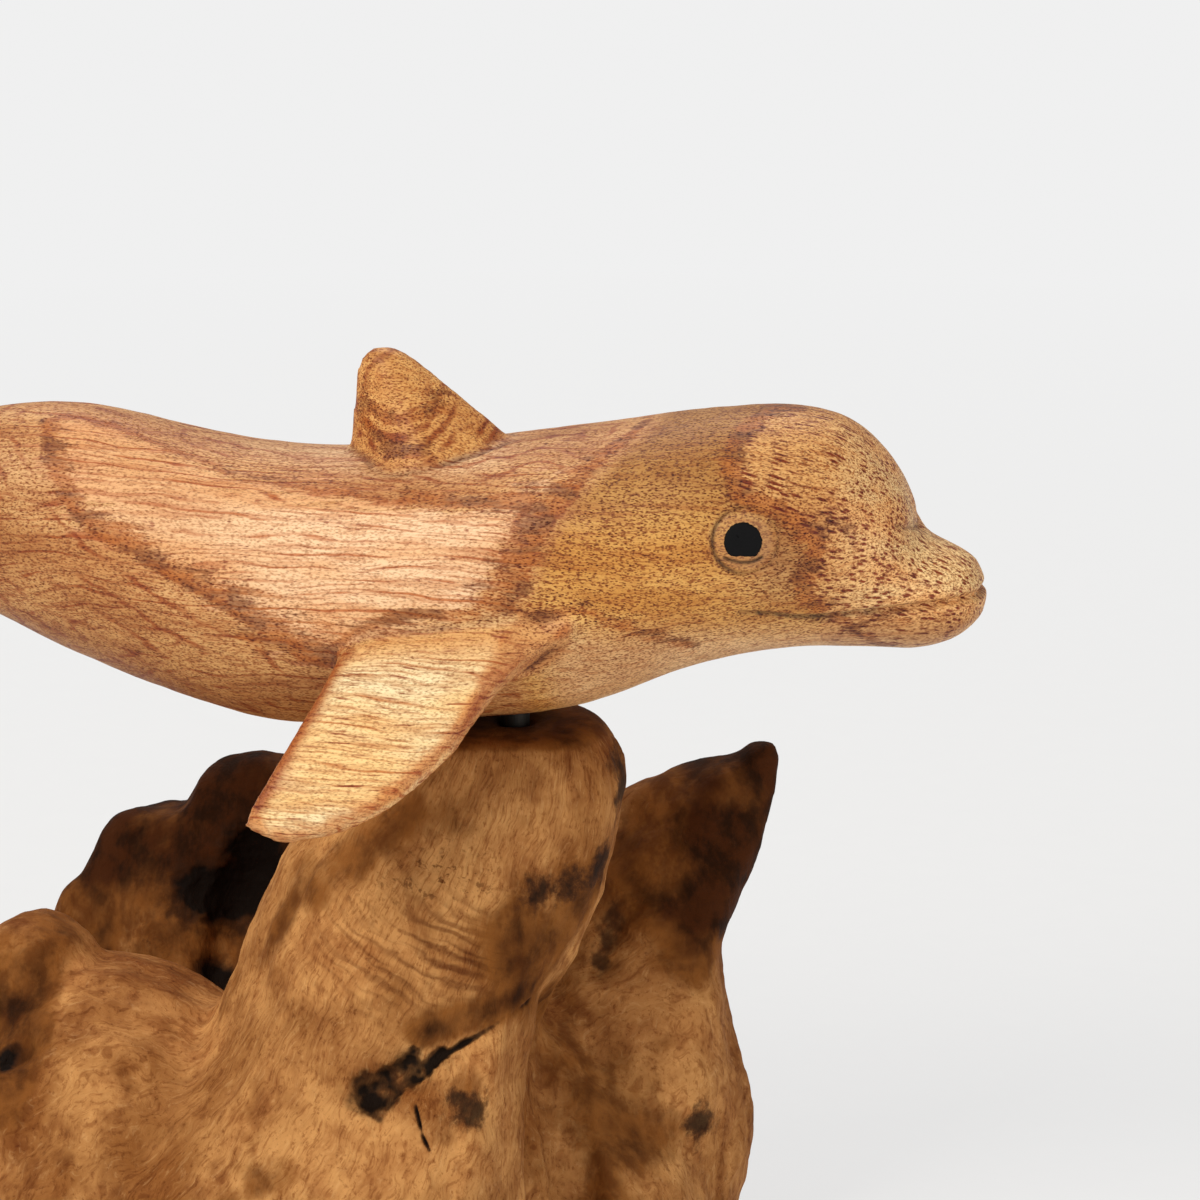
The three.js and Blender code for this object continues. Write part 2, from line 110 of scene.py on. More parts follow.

# Thin dark bands as (x, height): at melon, brow, throat, jaw and lip, and near the fins, where the one along
# the pectoral fin's top is painted shade
MELON = [(38, 128.9), (34.6, 128.4), (32.2, 127.2), (31.2, 125.6), (31.1, 123.6), (31.9, 121.4),
         (33.3, 119.8), (36.3, 118.8), (39.5, 117), (42.2, 114.6), (42.4, 112.4), (41, 109.4),
         (41.2, 107), (43, 105.2)]
BROW = [(34, 119.8), (38.3, 117.9), (43, 116.6), (46.5, 116)]
THROAT = [(4, 105.5), (12, 105.3), (16, 103.4), (21, 101.6), (26, 99.5)]
JAW = [(45, 104), (46, 102.8), (47.5, 101), (49.5, 99.2), (51.3, 98)]
LIP = [(41.5, 103.3), (45, 102.8), (49, 102.9), (53.5, 103.4)]
STREAK = [(-12, 117.6), (-6, 117.2), (0, 117.6), (5, 118.6)]
# Painted shade where the top of the pectoral fin meets the body
FIN_CREASE_SHADE = [(-21, 97.8), (-17.4, 100.8), (-11.8, 102.9), (-4.6, 103.8), (-1, 104)]
KNOT = [(-33, 99), (-31.8, 98.4), (-30.4, 97.5)]
DORSAL_LOW = [(-20.5, 125.4), (-18, 124.4), (-16, 122.6), (-13, 122), (-10.5, 123.2)]
DORSAL_HIGH = [(-20, 128), (-15.6, 126), (-11.6, 126.7), (-9.4, 129)]
# Each band's line, width and strength
THIN_BANDS = [(MELON, 1.5, 1.3), (BROW, 1.4, 0.65), (THROAT, 1.1, 0.9), (JAW, 1, 0.95), (LIP, 1.1, 0.6),
              (STREAK, 1.5, 1), (FIN_CREASE_SHADE, 0.9, 1.1), (KNOT, 1.1, 0.95), (DORSAL_LOW, 1.2, 0.95),
              (DORSAL_HIGH, 1.2, 0.95)]
DORSAL_OVAL = (-15.5, 130)
FLECK_TILT = math.radians(-14)

# Carved lines as (x, height), with depths and widths. The mouth's are at its tip and at its corners.
MOUTH = [(32.8, 104.5), (36.5, 104.3), (40.2, 103.7), (45.4, 103.9), (50.6, 104.3), (55.5, 104.7),
         (59.2, 105.1), (61.7, 105.4), (63.3, 105.5)]
MOUTH_DEPTHS = (1.1, 0.3)
MOUTH_WIDTHS = (0.58, 0.28)
MOUTH_SHALLOWS = (0.1, 0.75)
MOUTH_NARROWS = (0.1, 0.8)
MOUTH_SMOOTH = (3.6, 1.8)
MOUTH_FINE = 1.7
DORSAL_FOOT = [(-24.5, 121.6), (-20, 120.6), (-15, 119.5), (-11, 120.2), (-4, 122), (3, 124), (7, 125.4)]
NOTCH = (54.7, 113.4)
NOTCH_REACH = 5
NOTCH_STRENGTH = 0.9
BROW_CREASE = [NOTCH, (53.6, 114.3), (52.4, 115.2)]
CREASES = [(DORSAL_FOOT, 0.3, 0.7), (BROW_CREASE, 0.4, 0.6)]
CREASED = {"x": (-21, -17)}
# Height and size of the waves left by the knife
SKIN_WAVES = [(0.12, 13), (0.05, 4)]

# Pectoral fins: how far out they start, their rear edge, and the edge of the bevel in front as (x, height)
FIN_ROOT = 19.3
FIN_STARTS = (FIN_ROOT - 0.3, FIN_ROOT + 0.8)
FLANK_LIMIT = FIN_ROOT + 0.4
FIN_TOP = 104
FIN_FRONT = 16
# Painted shade runs along the rear edge, within its width
FIN_BACK = [(-18, 98.6), (-19.6, 96.4), (-21.2, 92.6), (-24, 87), (-27, 81)]
FIN_BACK_WIDTH = 1.1
FIN_TONGUE = -6
FIN_EDGE = [(5, 106), (2.8, 101.5), (-0.6, 94.5), (-3.6, 87.8)]
BEVEL_SLOPE = 0.22
BEVEL_WIDTH = 4.5

# Zones of the carving with soft limits: where along each axis a zone is 0 and where it is 1.
# There y is the distance from the middle plane.
PECTORALS = {"x": (-36, -32, 22, 18), "y": (16.5, 18.5), "z": (108, 105)}
DORSAL = {"x": (-29, -26, 10, 7), "z": (117.5, 119.5)}
FLUKES = {"x": (-84, -92)}
BEVEL = {"x": (12, 6), "y": (17.5, 19), "z": (86.5, 89, 105.5, 104)}
SHOULDER = {"z": (95, 102)}
# Painted light and shade in zones: shade on the underside, bounce light under the chin, highlights on beak
# and flank
WOOD_AND_LIGHT_ZONES = {
    "bright": {"x": (-52, -18)},
    "under": {"x": (4, -20), "z": (106, 92)},
    # The chin zone is painted bounce light under the head
    "chin": {"x": (4, 12), "z": (105, 98)},
    "beak": {"x": (41, 51), "z": (101, 105)},
    "crown": {"z": (113, 123)},
}

# Eye as (x, height): the painted shade in front of it, the carved ring, dish and dome, and the cut below the
# pupil
EYE = (33.2, 114.4)
EYE_AREA = 8
EYE_SMOOTH = (EYE_AREA, 5)
EYE_FINE = 5.6
EYE_SHADE = (38, 112)
EYE_SHADE_REACH = 5.5
EYE_SHADE_TALL = 1.3
EYE_RING = 4.3
EYE_RING_SWAY = 0.35
EYE_RING_WIDTH = 0.3
EYE_RING_DEPTH = 0.26
EYE_RING_WANDER = 0.2
EYE_RING_UNEVEN = 0.8
EYE_RING_TURN = math.radians(195)
EYE_DISH = 0.16
EYE_DISH_EDGE = (3.4, 4.8)
EYE_DOME = 0.2
EYE_DOME_REACH = 3.6
EYE_CUT = [(-2.3, -2.2), (-0.6, -2.75), (1.2, -2.7), (2.4, -2.1)]
EYE_CUT_DEPTH = 0.3
EYE_CUT_WIDTH = 0.22
IRIS_EDGE = (3.3, 4.2)

# Painted shade in the carved lines, with the ring from front to rear and the mouth's width from tip to
# corner
RING_SHADES = (0.12, 0.62)
LIP_WIDTHS = (0.62, 0.3)
CUT_SHADE = 0.7
CUT_SHADE_WIDTH = 0.25
CREASE_SHADE = 0.15
CREASE_SHADE_WIDTH = 0.5

# Pupil: its size, and the rings of its paint as a share of the radius and a height over the skin
PUPIL_RADIUS = 2.45
PUPIL_FLAT = -1.95
PUPIL_POINTS = 110
PUPIL_SEED = 5.3
PUPIL_WAVES = [(0.05, 0.9), (0.045, 0.16)]
FLAT_WAVES = [(0.05, 0.2)]
PAINT = 0.12
PAINT_RINGS = [(1, -0.1), (1, 0.04), (0.9, PAINT), (0.6, PAINT), (0.3, PAINT)]
PAINT_DROP = 5

# Root: the height of the post's level cut, its axis as (height, x, y), and the run of the fibres
STUMP_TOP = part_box("root_base")[1][2] / MM
POST_AXIS = [(0, -35, -11), (14, -32, -10), (32, -22, -6), (53, -13, -2), (75, -4, 0), (STUMP_TOP, -1.5, 0)]
FIBRE_ROUND = 24
FIBRE_SLOPE = 0.8

# Height and size of the root's waves and furrows, and where they start beside a level cut
ROOT_WAVES = [(0.45, 20), (0.45, 7)]
ROOT_FURROWS = [(0.4, (6, 6, 50)), (0.35, (2.4, 2.4, 26))]
CUT_EDGE = (0.5, 6)

# Cracks and holes
CRACK = [(5, -13, 48.8), (2.5, -17, 48), (0, -19.6, 46.6), (-3.5, -22.4, 45), (-7, -23.7, 43.2)]
GASH = [(-6, -23.4, 43.8), (-9.5, -24.6, 42.2), (-12.5, -25.6, 40.4), (-14.8, -26.4, 38.6)]
SPLIT = [(-8.5, -27.6, 38.4), (-7.8, -28.4, 36.8), (-7.2, -29.3, 35.4), (-6.9, -29.5, 34.6),
         (-5.9, -30, 33)]
HOLLOW = [(-44, 25.6, 54), (-44.5, 26.6, 47), (-51.5, 25, 47)]
CREVICE = [(9.6, 13, 44.5), (10.2, 16, 47.6), (11, 17.6, 50)]
# Each cut's line, its strength and its width at both ends, how ragged it is and how far the net is finer
# The strength also darkens each cut and hole, as painted shade inside it.
CUTS = [(CRACK, (1.7, 2.2), (0.27, 0.47), 0.7, 2.4), (SPLIT, (2, 2), (0.22, 0.22), 0.25, 2),
        (GASH, (2.6, 2.6), (1.1, 2.4), 3, 5), (GASH, (0.5, 0.5), (3.6, 3.6), 4, 5),
        (CREVICE, (0.9, 0.9), (2, 2), 4, 4), (HOLLOW, (3, 3), (4.2, 4.2), 4, 6)]
# Each hole's place, size and strength
HOLES = [((-69.6, -14.4, 36.2), 2.4, 4), ((-48.4, 19.8, 36.3), 2.8, 4), ((-60, 22, 36), 2.4, 2)]
HOLE_RAGGED = 2
HOLE_SHARP = 1.5
WANDER = 0.35
WANDER_SIZE = 2.2
HOLE_REACH = 1.5
# How deep a cut or hole of strength 1 is carved
CUT_DEPTH = 0.35

# Bark: place and size of each patch, and its ragged edge
BARK = [((15, -0.8, 76), (3, 4, 6.5)), ((12.5, -6.6, 66), (4, 4, 4)), ((9.5, -11, 64.8), (4.5, 4, 3.2)),
        ((6.4, -14, 64), (3.8, 3.4, 2.8)), ((-1.2, -26, 37.8), (3.4, 3, 2.8)),
        ((-2.5, -26, 39), (2.4, 3, 1.6)), ((-20, -22, 62), (2, 3, 2)), ((24.5, 9.6, 23), (4, 4, 3))]
BARK_FRAY = 0.4
BARK_FRAY_SIZE = 3.2

# Fine lines and pits on the post: place, shape and reach
RIPPLES = ((-5, -20, 57), (1.8, 1.4, 0.9), 9)
PITS = ((-6.6, -18.4, 67.2), (1.6, 1, 0.8), 6)

# Darker parts and painted shade: zones as on the carving, but with y itself, and lines with a width, a
# strength and a zone
RIDGE = {"x": (-24, -34), "y": (12, 20), "z": (28, 55)}
HORN = {"y": (6, 13), "z": (33, 56)}
HORN_SIDE = (-3, 5)
HORN_LEAN = 0.25
HORN_FRONT = {"x": (13, 25)}
HORN_REAR = 0.5
KNOB = {"x": (-60, -66), "y": (-30, -16), "z": (22, 32)}
KNOB_TOP = {"z": (40, 45)}
KNOB_FADE = 0.6
KNOB_STRENGTH = 0.65
# Painted shade on the post's top, under the dolphin's belly
SEAT_SHADE = {"z": (STUMP_TOP - 2, STUMP_TOP - 0.4)}
SEAT_SHADE_STRENGTH = 0.65
# Lines of painted shade: in the recess behind the front lobe, on the post's right side, above the crack and
# below the fin
RECESS_SHADE = [(6, -5, 45), (7.5, -1, 37), (11, 1, 30), (13.5, 0, 24), (14, -5, 18), (13, -9, 8)]
POST_SHADE = [(11, -9, 62), (8, -12, 59), (2.5, -16.6, 57.5), (4.5, -14, 51)]
CRACK_SHADE = [(5, -13.5, 51), (1, -17.8, 49.4), (-3.7, -20.6, 48.2), (-8.7, -22.8, 46.4)]
FIN_SHADE = [(-27.5, -13.5, 60), (-21.2, -15, 67), (-13, -15.2, 73.2)]
SHADES = [(POST_SHADE, 5.5, 0.65, {}), (CRACK_SHADE, 2.8, 0.8, {}), (FIN_SHADE, 4.6, 0.42, {}),
          (RECESS_SHADE, 6, 0.6, {"y": (-13, -8)})]
DUSK_CLOUD = 0.35
DUSK_CLOUD_SIZE = 9
# Paler and darker patches: place, reach and how much paler, with a minus for darker
# The darker patch at (-3, -15, 77), below the fin, is painted shade.
PATCHES = [((-6, -17, 67), 12, 1.5), ((-3, -15, 77), 7, -0.6), ((8, -9, 82), 9, -0.7),
           ((11, -8, 67), 7, -0.8), ((-34, -10, 54), 5, -1.3), ((-20.5, -21, 56), 7, 1.2),
           ((1, -18, 53), 6, -0.8), ((4, -28, 26), 8, -0.6), ((-24, -26, 37), 6, -0.4),
           ((2, -22.5, 40.5), 4.5, 1.2), ((-12, -32, 28), 12, 1.1), ((20, 6, 22), 5, 2.2),
           ((-7, -27.5, 38.5), 4, -1.6), ((22, 8, 27), 12, 1.2), ((23, 13, 37), 7, 1),
           ((-41, -9, 38), 5, 2.5), ((-55, -9, 42), 10, -0.4), ((-59, -21, 34), 5, 1.3),
           ((-53, 2, 44), 5, -1.2), ((-67, -20, 32), 6, -1.4)]


def srgb(red, green, blue):
    """A display colour of 0 to 255 as the linear colour that a shader takes."""
    def linear(value):
        value /= 255
        return value / 12.92 if value <= 0.04045 else ((value + 0.055) / 1.055) ** 2.4
    return (linear(red), linear(green), linear(blue), 1)


# Mesh helpers

def read(items, key, width, kind=float):
    """Numbers of all vertices or edges of a mesh, in rows."""
    flat = np.empty(len(items) * width, kind)
    items.foreach_get(key, flat)
    return flat.reshape(-1, width)


def points_of(mesh):
    return read(mesh.vertices, "co", 3) / MM


def normals_of(mesh):
    return read(mesh.vertex_normals, "vector", 3)


def edges_of(mesh):
    return read(mesh.edges, "vertices", 2, int)


def place_points(mesh, points):
    mesh.vertices.foreach_set("co", (points * MM).ravel())
    mesh.update()


def new_object(name, data):
    made = bpy.data.objects.new(name, data)
    bpy.context.scene.collection.objects.link(made)
    return made


def dense_copy(node, name, size):
    """A new object in the shape of a CAD node, with an even net of small faces."""
    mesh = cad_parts[node].data.copy()
    piece = new_object(name, mesh)
    net = bmesh.new()
    net.from_mesh(mesh)
    bmesh.ops.remove_doubles(net, verts=net.verts, dist=WELD * MM)
    net.to_mesh(mesh)
    net.free()
    grid = piece.modifiers.new("even_net", "REMESH")
    grid.mode = "VOXEL"
    grid.voxel_size = size * MM
    ready = piece.evaluated_get(bpy.context.evaluated_depsgraph_get())
    piece.data = bpy.data.meshes.new_from_object(ready)
    piece.modifiers.clear()
    bpy.data.meshes.remove(mesh)
    piece.data.name = name
    piece.data.materials.clear()
    piece.data.shade_smooth()
    return piece


def neighbours_mean(points, edges):
    first, second = edges.T
    total = len(points)
    count = np.bincount(edges.ravel(), minlength=total)
    columns = []
    for k in range(3):
        ahead = np.bincount(first, points[second, k], total)
        behind = np.bincount(second, points[first, k], total)
        columns.append((ahead + behind) / count)
    return np.column_stack(columns)


def relax(points, edges, rounds, weight=RELAX):
    """Draws every point towards the middle of its neighbours, by its own weight."""
    weight = np.broadcast_to(weight, len(points))[:, None]
    for _ in range(rounds):
        points = points + weight * (neighbours_mean(points, edges) - points)
    return points


def even_out(points, edges, rounds):
    """Takes small facets away and keeps the volume, by a shrinking and a swelling step in turn."""
    for _ in range(rounds):
        points = relax(points, edges, 1, RELAX)
        points = relax(points, edges, 1, SWELL)
    return points


def refine(mesh, wanted):
    """Halves the edges between wanted points."""
    net = bmesh.new()
    net.from_mesh(mesh)
    chosen = [e for e in net.edges if wanted[e.verts[0].index] and wanted[e.verts[1].index]]
    bmesh.ops.subdivide_edges(net, edges=chosen, cuts=1, use_grid_fill=True)
    bmesh.ops.triangulate(net, faces=[f for f in net.faces if len(f.verts) > 4])
    net.to_mesh(mesh)
    net.free()


def refine_near(mesh, closeness, reaches):
    """Halves the net again and again, each time within a smaller reach, and rounds it off."""
    for reach in reaches:
        refine(mesh, closeness(points_of(mesh)) < reach)
        points = points_of(mesh)
        weight = RELAX * (1 - ease(closeness(points), 0.9 * reach, 1.3 * reach))
        place_points(mesh, relax(points, edges_of(mesh), REFINE_ROUNDS, weight))


def spline(knots, per_gap=8):
    """A smooth line through the knots."""
    knots = np.asarray(knots, float)
    ends = np.vstack([2 * knots[0] - knots[1], knots, 2 * knots[-1] - knots[-2]])
    t = np.linspace(0, 1, per_gap, endpoint=False)[:, None]
    pieces = []
    for a, b, c, d in zip(ends, ends[1:], ends[2:], ends[3:]):
        cubic = 3 * (b - c) + d - a
        square = 2 * a - 5 * b + 4 * c - d
        pieces.append(b + 0.5 * t * (c - a + t * (square + t * cubic)))
    return np.vstack([*pieces, knots[-1:]])


def gap_to(points, line):
    """Each point's distance to a line, and how far along the line its nearest place is, 0 to 1."""
    best = np.full(len(points), np.inf)
    place = np.zeros(len(points))
    for index, (start, end) in enumerate(zip(line[:-1], line[1:])):
        step = end - start
        share = np.clip(((points - start) @ step) / max(step @ step, 1e-9), 0, 1)
        gap = np.linalg.norm(points - start - share[:, None] * step, axis=1)
        nearer = gap < best
        best[nearer] = gap[nearer]
        place[nearer] = (index + share[nearer]) / (len(line) - 1)
    return best, place


def ease(value, low, high):
    """0 below low, 1 above high and a soft step between."""
    t = np.clip((value - low) / (high - low), 0, 1)
    return t * t * (3 - 2 * t)


def bell(value, width):
    return np.exp(-(value / width) ** 2)


def zone(points, x=(), y=(), z=()):
    """1 within soft limits and 0 outside. Limits come in pairs: where the zone is 0 and where it is 1."""
    share = np.ones(len(points))
    for column, limits in zip(points.T, (x, y, z)):
        for outside, within in zip(limits[::2], limits[1::2]):
            share = share * ease(column, outside, within)
    return share


def between(ends, share):
    return ends[0] + (ends[1] - ends[0]) * share


def inside(points, outline):
    """Whether each (x, height) lies within a closed outline."""
    x, z = points.T
    found = np.zeros(len(points), bool)
    for (x0, z0), (x1, z1) in zip(outline, np.roll(outline, -1, axis=0)):
        crosses = (z0 > z) != (z1 > z)
        reach = x0 + (z - z0) * (x1 - x0) / (z1 - z0 if z1 != z0 else 1e-9)
        found ^= crosses & (x < reach)
    return found


def keep(mesh, marks):
    """Stores numbers or places by name, one for each point, for the shader."""
    for name, values in marks.items():
        kind, key = ("FLOAT", "value") if values.ndim == 1 else ("FLOAT_VECTOR", "vector")
        mesh.attributes.new(name, kind, "POINT").data.foreach_set(key, values.astype(np.float32).ravel())


def noise_at(points, size, octaves=3):
    """Cloudy noise of about -1 to 1 with lumps of the given size, one length or one for each axis."""
    return np.array([noise.fractal(p, 1.0, 2.0, octaves) for p in points / size])


def waves(points, rows, octaves=3):
    """A sum of noises, each with its own height and size."""
    return sum(height * noise_at(points, size, octaves) for height, size in rows)


def bend_of(mesh):
    """How much the surface stands out at each point, negative in hollows."""
    points = points_of(mesh)
    edges = edges_of(mesh)
    soft = relax(points, edges, BEND_ROUNDS)
    return np.einsum("ij,ij->i", points - soft, normals_of(mesh))


# Dolphin

def on_skin(points, line, side):
    """Lays an (x, height) line on the skin of one side, side being -1 for the right."""
    flank = points[(points[:, 1] * side > 0) & (np.abs(points[:, 1]) < FLANK_LIMIT)]
    laid = []
    for x, z in line:
        nearest = np.argmin((flank[:, 0] - x) ** 2 + (flank[:, 2] - z) ** 2)
        laid.append((x, flank[nearest, 1], z))
    return np.array(laid)


def gap_on_skin(points, knots):
    """The same as gap_to, for a line that lies on both sides."""
    gaps, places = zip(*[gap_to(points, on_skin(points, spline(knots), side)) for side in SIDES])
    return np.min(gaps, axis=0), np.choose(np.argmin(gaps, axis=0), places)


def folded(points):
    """The points of both sides, with their distance from the middle plane for y."""
    x, y, z = points.T
    return np.column_stack([x, np.abs(y), z])


def mouth_line(points):
    right = on_skin(points, spline(MOUTH), -1)
    left = right[::-1] * (1, -1, 1)
    return np.vstack([right, left])


def gap_to_eyes(points, eyes):
    return np.min([np.linalg.norm(points - eye, axis=1) for eye in eyes], axis=0)


def gap_to_ring(points, eyes):
    """Distance to the carved ring, which reaches a little further to the front."""
    around = np.arctan2(points[:, 2] - EYE[1], points[:, 0] - EYE[0])
    return gap_to_eyes(points, eyes) - EYE_RING - EYE_RING_SWAY * np.cos(around), around


def plain_body(points):
    """1 on the body and 0 on fins, flukes and the notch over the beak, which keep their edges."""
    x, _, z = points.T
    half = folded(points)
    kept = [zone(half, **limits) for limits in (PECTORALS, DORSAL, FLUKES)]
    kept.append(NOTCH_STRENGTH * bell(np.hypot(x - NOTCH[0], z - NOTCH[1]), NOTCH_REACH))
    return 1 - np.max(kept, axis=0)


def carve_dolphin(piece):
    mesh = piece.data
    edges = edges_of(mesh)
    points = even_out(points_of(mesh), edges, FACET_ROUNDS)
    points = relax(points, edges, BODY_ROUNDS, RELAX * plain_body(points))
    eyes = [on_skin(points, [EYE], side)[0] for side in SIDES]
    mouth = mouth_line(points)
    points = relax(points, edges, EYE_ROUNDS, RELAX * ease(gap_to_eyes(points, eyes), *EYE_SMOOTH))
    points = relax(points, edges, MOUTH_ROUNDS, RELAX * ease(gap_to(points, mouth)[0], *MOUTH_SMOOTH))
    place_points(mesh, points)

    def closeness(at):
        return np.minimum(gap_to_eyes(at, eyes) / EYE_FINE, gap_to(at, mouth)[0] / MOUTH_FINE)

    refine_near(mesh, closeness, CARVING_REACHES)
    points = points_of(mesh)
    depth = eye_depth(points, eyes) + mouth_depth(points, mouth) + waves(points, SKIN_WAVES)
    for line, deep, width in CREASES:
        depth += deep * bell(gap_on_skin(points, line)[0], width) * zone(points, **CREASED)
    depth += BEVEL_SLOPE * np.clip(strip_reach(points), 0, BEVEL_WIDTH)
    place_points(mesh, points - normals_of(mesh) * depth[:, None])
    return eyes, mouth


def strip_reach(points):
    """How far each point of a pectoral fin's outer face lies in front of the edge of its bevel."""
    x, _, z = points.T
    edge_x, edge_z = np.array(FIN_EDGE[::-1]).T
    return zone(folded(points), **BEVEL) * np.maximum(x - np.interp(z, edge_z, edge_x), 0)


def eye_depth(points, eyes):
    gap = gap_to_eyes(points, eyes)
    near = gap < EYE_AREA
    uneven = np.zeros(len(points))
    uneven[near] = noise_at(points[near], WANDER_SIZE)
    groove = bell(gap_to_ring(points, eyes)[0] + EYE_RING_WANDER * uneven, EYE_RING_WIDTH)
    ring = EYE_RING_DEPTH * (1 + EYE_RING_UNEVEN * uneven) * groove
    dish = EYE_DISH * (1 - ease(gap, *EYE_DISH_EDGE))
    dome = EYE_DOME * (1 - np.clip(gap / EYE_DOME_REACH, 0, 1) ** 2)
    return ring + dish - dome + EYE_CUT_DEPTH * bell(cut_gap(points), EYE_CUT_WIDTH)


def cut_gap(points):
    """Distance to the knife cut below the pupil, as seen from the side."""
    line = np.array(EYE_CUT) + EYE
    inner = np.abs(points[:, 1]) < EYE_AREA
    return np.where(inner, np.inf, gap_to(points[:, [0, 2]], spline(line))[0])


def mouth_depth(points, mouth):
    gap, along = gap_to(points, mouth)
    from_tip = np.abs(along - 0.5) * 2
    depth = between(MOUTH_DEPTHS, ease(from_tip, *MOUTH_SHALLOWS))
    width = between(MOUTH_WIDTHS, ease(from_tip, *MOUTH_NARROWS))
    return depth * bell(gap, width)


def tongue_marks(points):
    """Distance into the pale tongue, negative outside it, and the dark band along its edge."""
    within = inside(points[:, [0, 2]], np.array(TONGUE_LOW + NECK + TONGUE_TOP))
    low_gap, _ = gap_on_skin(points, TONGUE_LOW)
    top_gap, _ = gap_on_skin(points, TONGUE_TOP)
    neck_gap, rise = gap_on_skin(points, NECK)
    edge = np.minimum(low_gap, top_gap)
    depth = np.where(within, np.minimum(edge, neck_gap - NECK_FADE), -np.minimum(edge, neck_gap + NECK_FADE))
    swell = LOW_SWELL * ease(points[:, 0], *LOW_SWELLS)
    low = bell(low_gap, np.where(within, LOW_BAND[0] + swell, LOW_BAND[1]))
    neck = bell(neck_gap, np.where(within, *NECK_BAND) * (1 - NECK_TAPER * rise))
    top = TOP_STRENGTH * bell(top_gap, np.where(within, *TOP_BAND))
    return depth, np.maximum.reduce([low, neck, top])


def groove_shade_marks(points, eyes, mouth):
    """Painted shade in the carved lines: eye ring, mouth, cut below the pupil and crease over the beak."""
    ring_gap, around = gap_to_ring(points, eyes)
    tone = between(RING_SHADES, ease(np.cos(around - EYE_RING_TURN), -0.3, 0.8))
    mouth_gap, along = gap_to(points, mouth)
    lips = bell(mouth_gap, between(LIP_WIDTHS, np.abs(along - 0.5) * 2))
    cut = CUT_SHADE * bell(cut_gap(points), CUT_SHADE_WIDTH)
    crease = CREASE_SHADE * bell(gap_on_skin(points, BROW_CREASE)[0], CREASE_SHADE_WIDTH)
    return np.maximum.reduce([tone * bell(ring_gap, EYE_RING_WIDTH), lips, cut, crease])


def dolphin_marks(piece, eyes, mouth):
    """Stores where each kind of wood shows, and where painted shade and painted light go."""
    mesh = piece.data
    points = points_of(mesh)
    x, y, z = points.T
    tongue, band = tongue_marks(points)
    for line, width, strength in THIN_BANDS:
        band = np.maximum(band, strength * bell(gap_on_skin(points, line)[0], width))
    fin = ease(np.abs(y), *FIN_STARTS) * (z < FIN_TOP) * (x < FIN_FRONT)
    melon_x, melon_z = np.array(MELON[::-1]).T
    neck_x, neck_z = np.array(NECK).T
    foot_x, foot_z = np.array(DORSAL_FOOT).T
    top_x, top_z = np.array(TONGUE_TOP[::-1]).T
    above = z - np.interp(x, foot_x, foot_z)
    # A strip along the back, drawn pale as a painted highlight
    back = ease(z - np.interp(x, top_x, top_z), 1, 5) * ease(x, 4, -8) * ease(above, 0.5, -0.5)
    marks = {name: zone(points, **limits) for name, limits in WOOD_AND_LIGHT_ZONES.items()}
    marks["tongue"] = between((tongue, FIN_TONGUE), fin)
    marks["band"] = band * (1 - fin)
    marks["fin"] = fin
    marks["strip"] = ease(strip_reach(points), 0, 0.7)
    marks["melon"] = ease(x - np.interp(z, melon_z, melon_x), -0.4, 0.6)
    marks["head"] = ease(x - np.interp(z, neck_z, neck_x), 0, 4)
    marks["dorsal"] = ease(above, 0, 1) * (x > foot_x[0] - 1) * (x < foot_x[-1])
    marks["back"] = back
    # Painted shade in front of the eye
    marks["socket"] = bell(np.hypot(x - EYE_SHADE[0], (z - EYE_SHADE[1]) / EYE_SHADE_TALL), EYE_SHADE_REACH)
    marks["rear_edge_shade"] = fin * bell(gap_to(points[:, [0, 2]], spline(FIN_BACK))[0], FIN_BACK_WIDTH)
    marks["iris"] = 1 - ease(gap_to_eyes(points, eyes), *IRIS_EDGE)
    marks["arch"] = np.hypot(x - DORSAL_OVAL[0], z - DORSAL_OVAL[1])
    marks["shoulder"] = fin * zone(points, **SHOULDER)
    marks["groove"] = groove_shade_marks(points, eyes, mouth)
    marks["bend"] = bend_of(mesh)
    keep(mesh, marks)


def pupil_outline():
    """The edge of a hand-painted spot: nearly round, ragged and flat below."""
    turns = np.linspace(0, 2 * math.pi, PUPIL_POINTS, endpoint=False)
    rim = np.column_stack([np.cos(turns), np.sin(turns), np.full(len(turns), PUPIL_SEED)])
    radius = PUPIL_RADIUS * (1 + waves(rim, PUPIL_WAVES, 2))
    flat = PUPIL_FLAT * (1 + waves(rim, FLAT_WAVES, 2))
    return radius * rim[:, 0], np.maximum(radius * rim[:, 1], flat)


def paint_pupil(name, node, centre, skin):
    """A thin skin of paint that lies on the eye."""
    out = Vector(skin.find_nearest(Vector(centre) * MM)[1])
    across = Vector((0, 0, 1)).cross(out).normalized()
    up = out.cross(across)
    wide, tall = pupil_outline()
    net = bmesh.new()
    rings = []
    for share, lift in PAINT_RINGS:
        ring = []
        for u, v in zip(wide * share, tall * share):
            start = (Vector(centre) + across * u + up * v) * MM + out * PAINT_DROP * MM
            foot = skin.ray_cast(start, -out)[0]
            ring.append(net.verts.new(foot + out * lift * MM))
        rings.append(ring)
    for lower, upper in zip(rings, rings[1:]):
        for i in range(len(lower)):
            j = (i + 1) % len(lower)
            net.faces.new((lower[i], lower[j], upper[j], upper[i]))
    net.faces.new(rings[-1])
    net.faces.new(rings[0][::-1])
    bmesh.ops.triangulate(net, faces=[f for f in net.faces if len(f.verts) > 4])
    bmesh.ops.recalc_face_normals(net, faces=net.faces)
    mesh = bpy.data.meshes.new(name)
    net.to_mesh(mesh)
    net.free()
    mesh.shade_smooth()
    piece = new_object(name, mesh)
    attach(piece, "dolphin")
    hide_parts(node)
    return piece


# Root

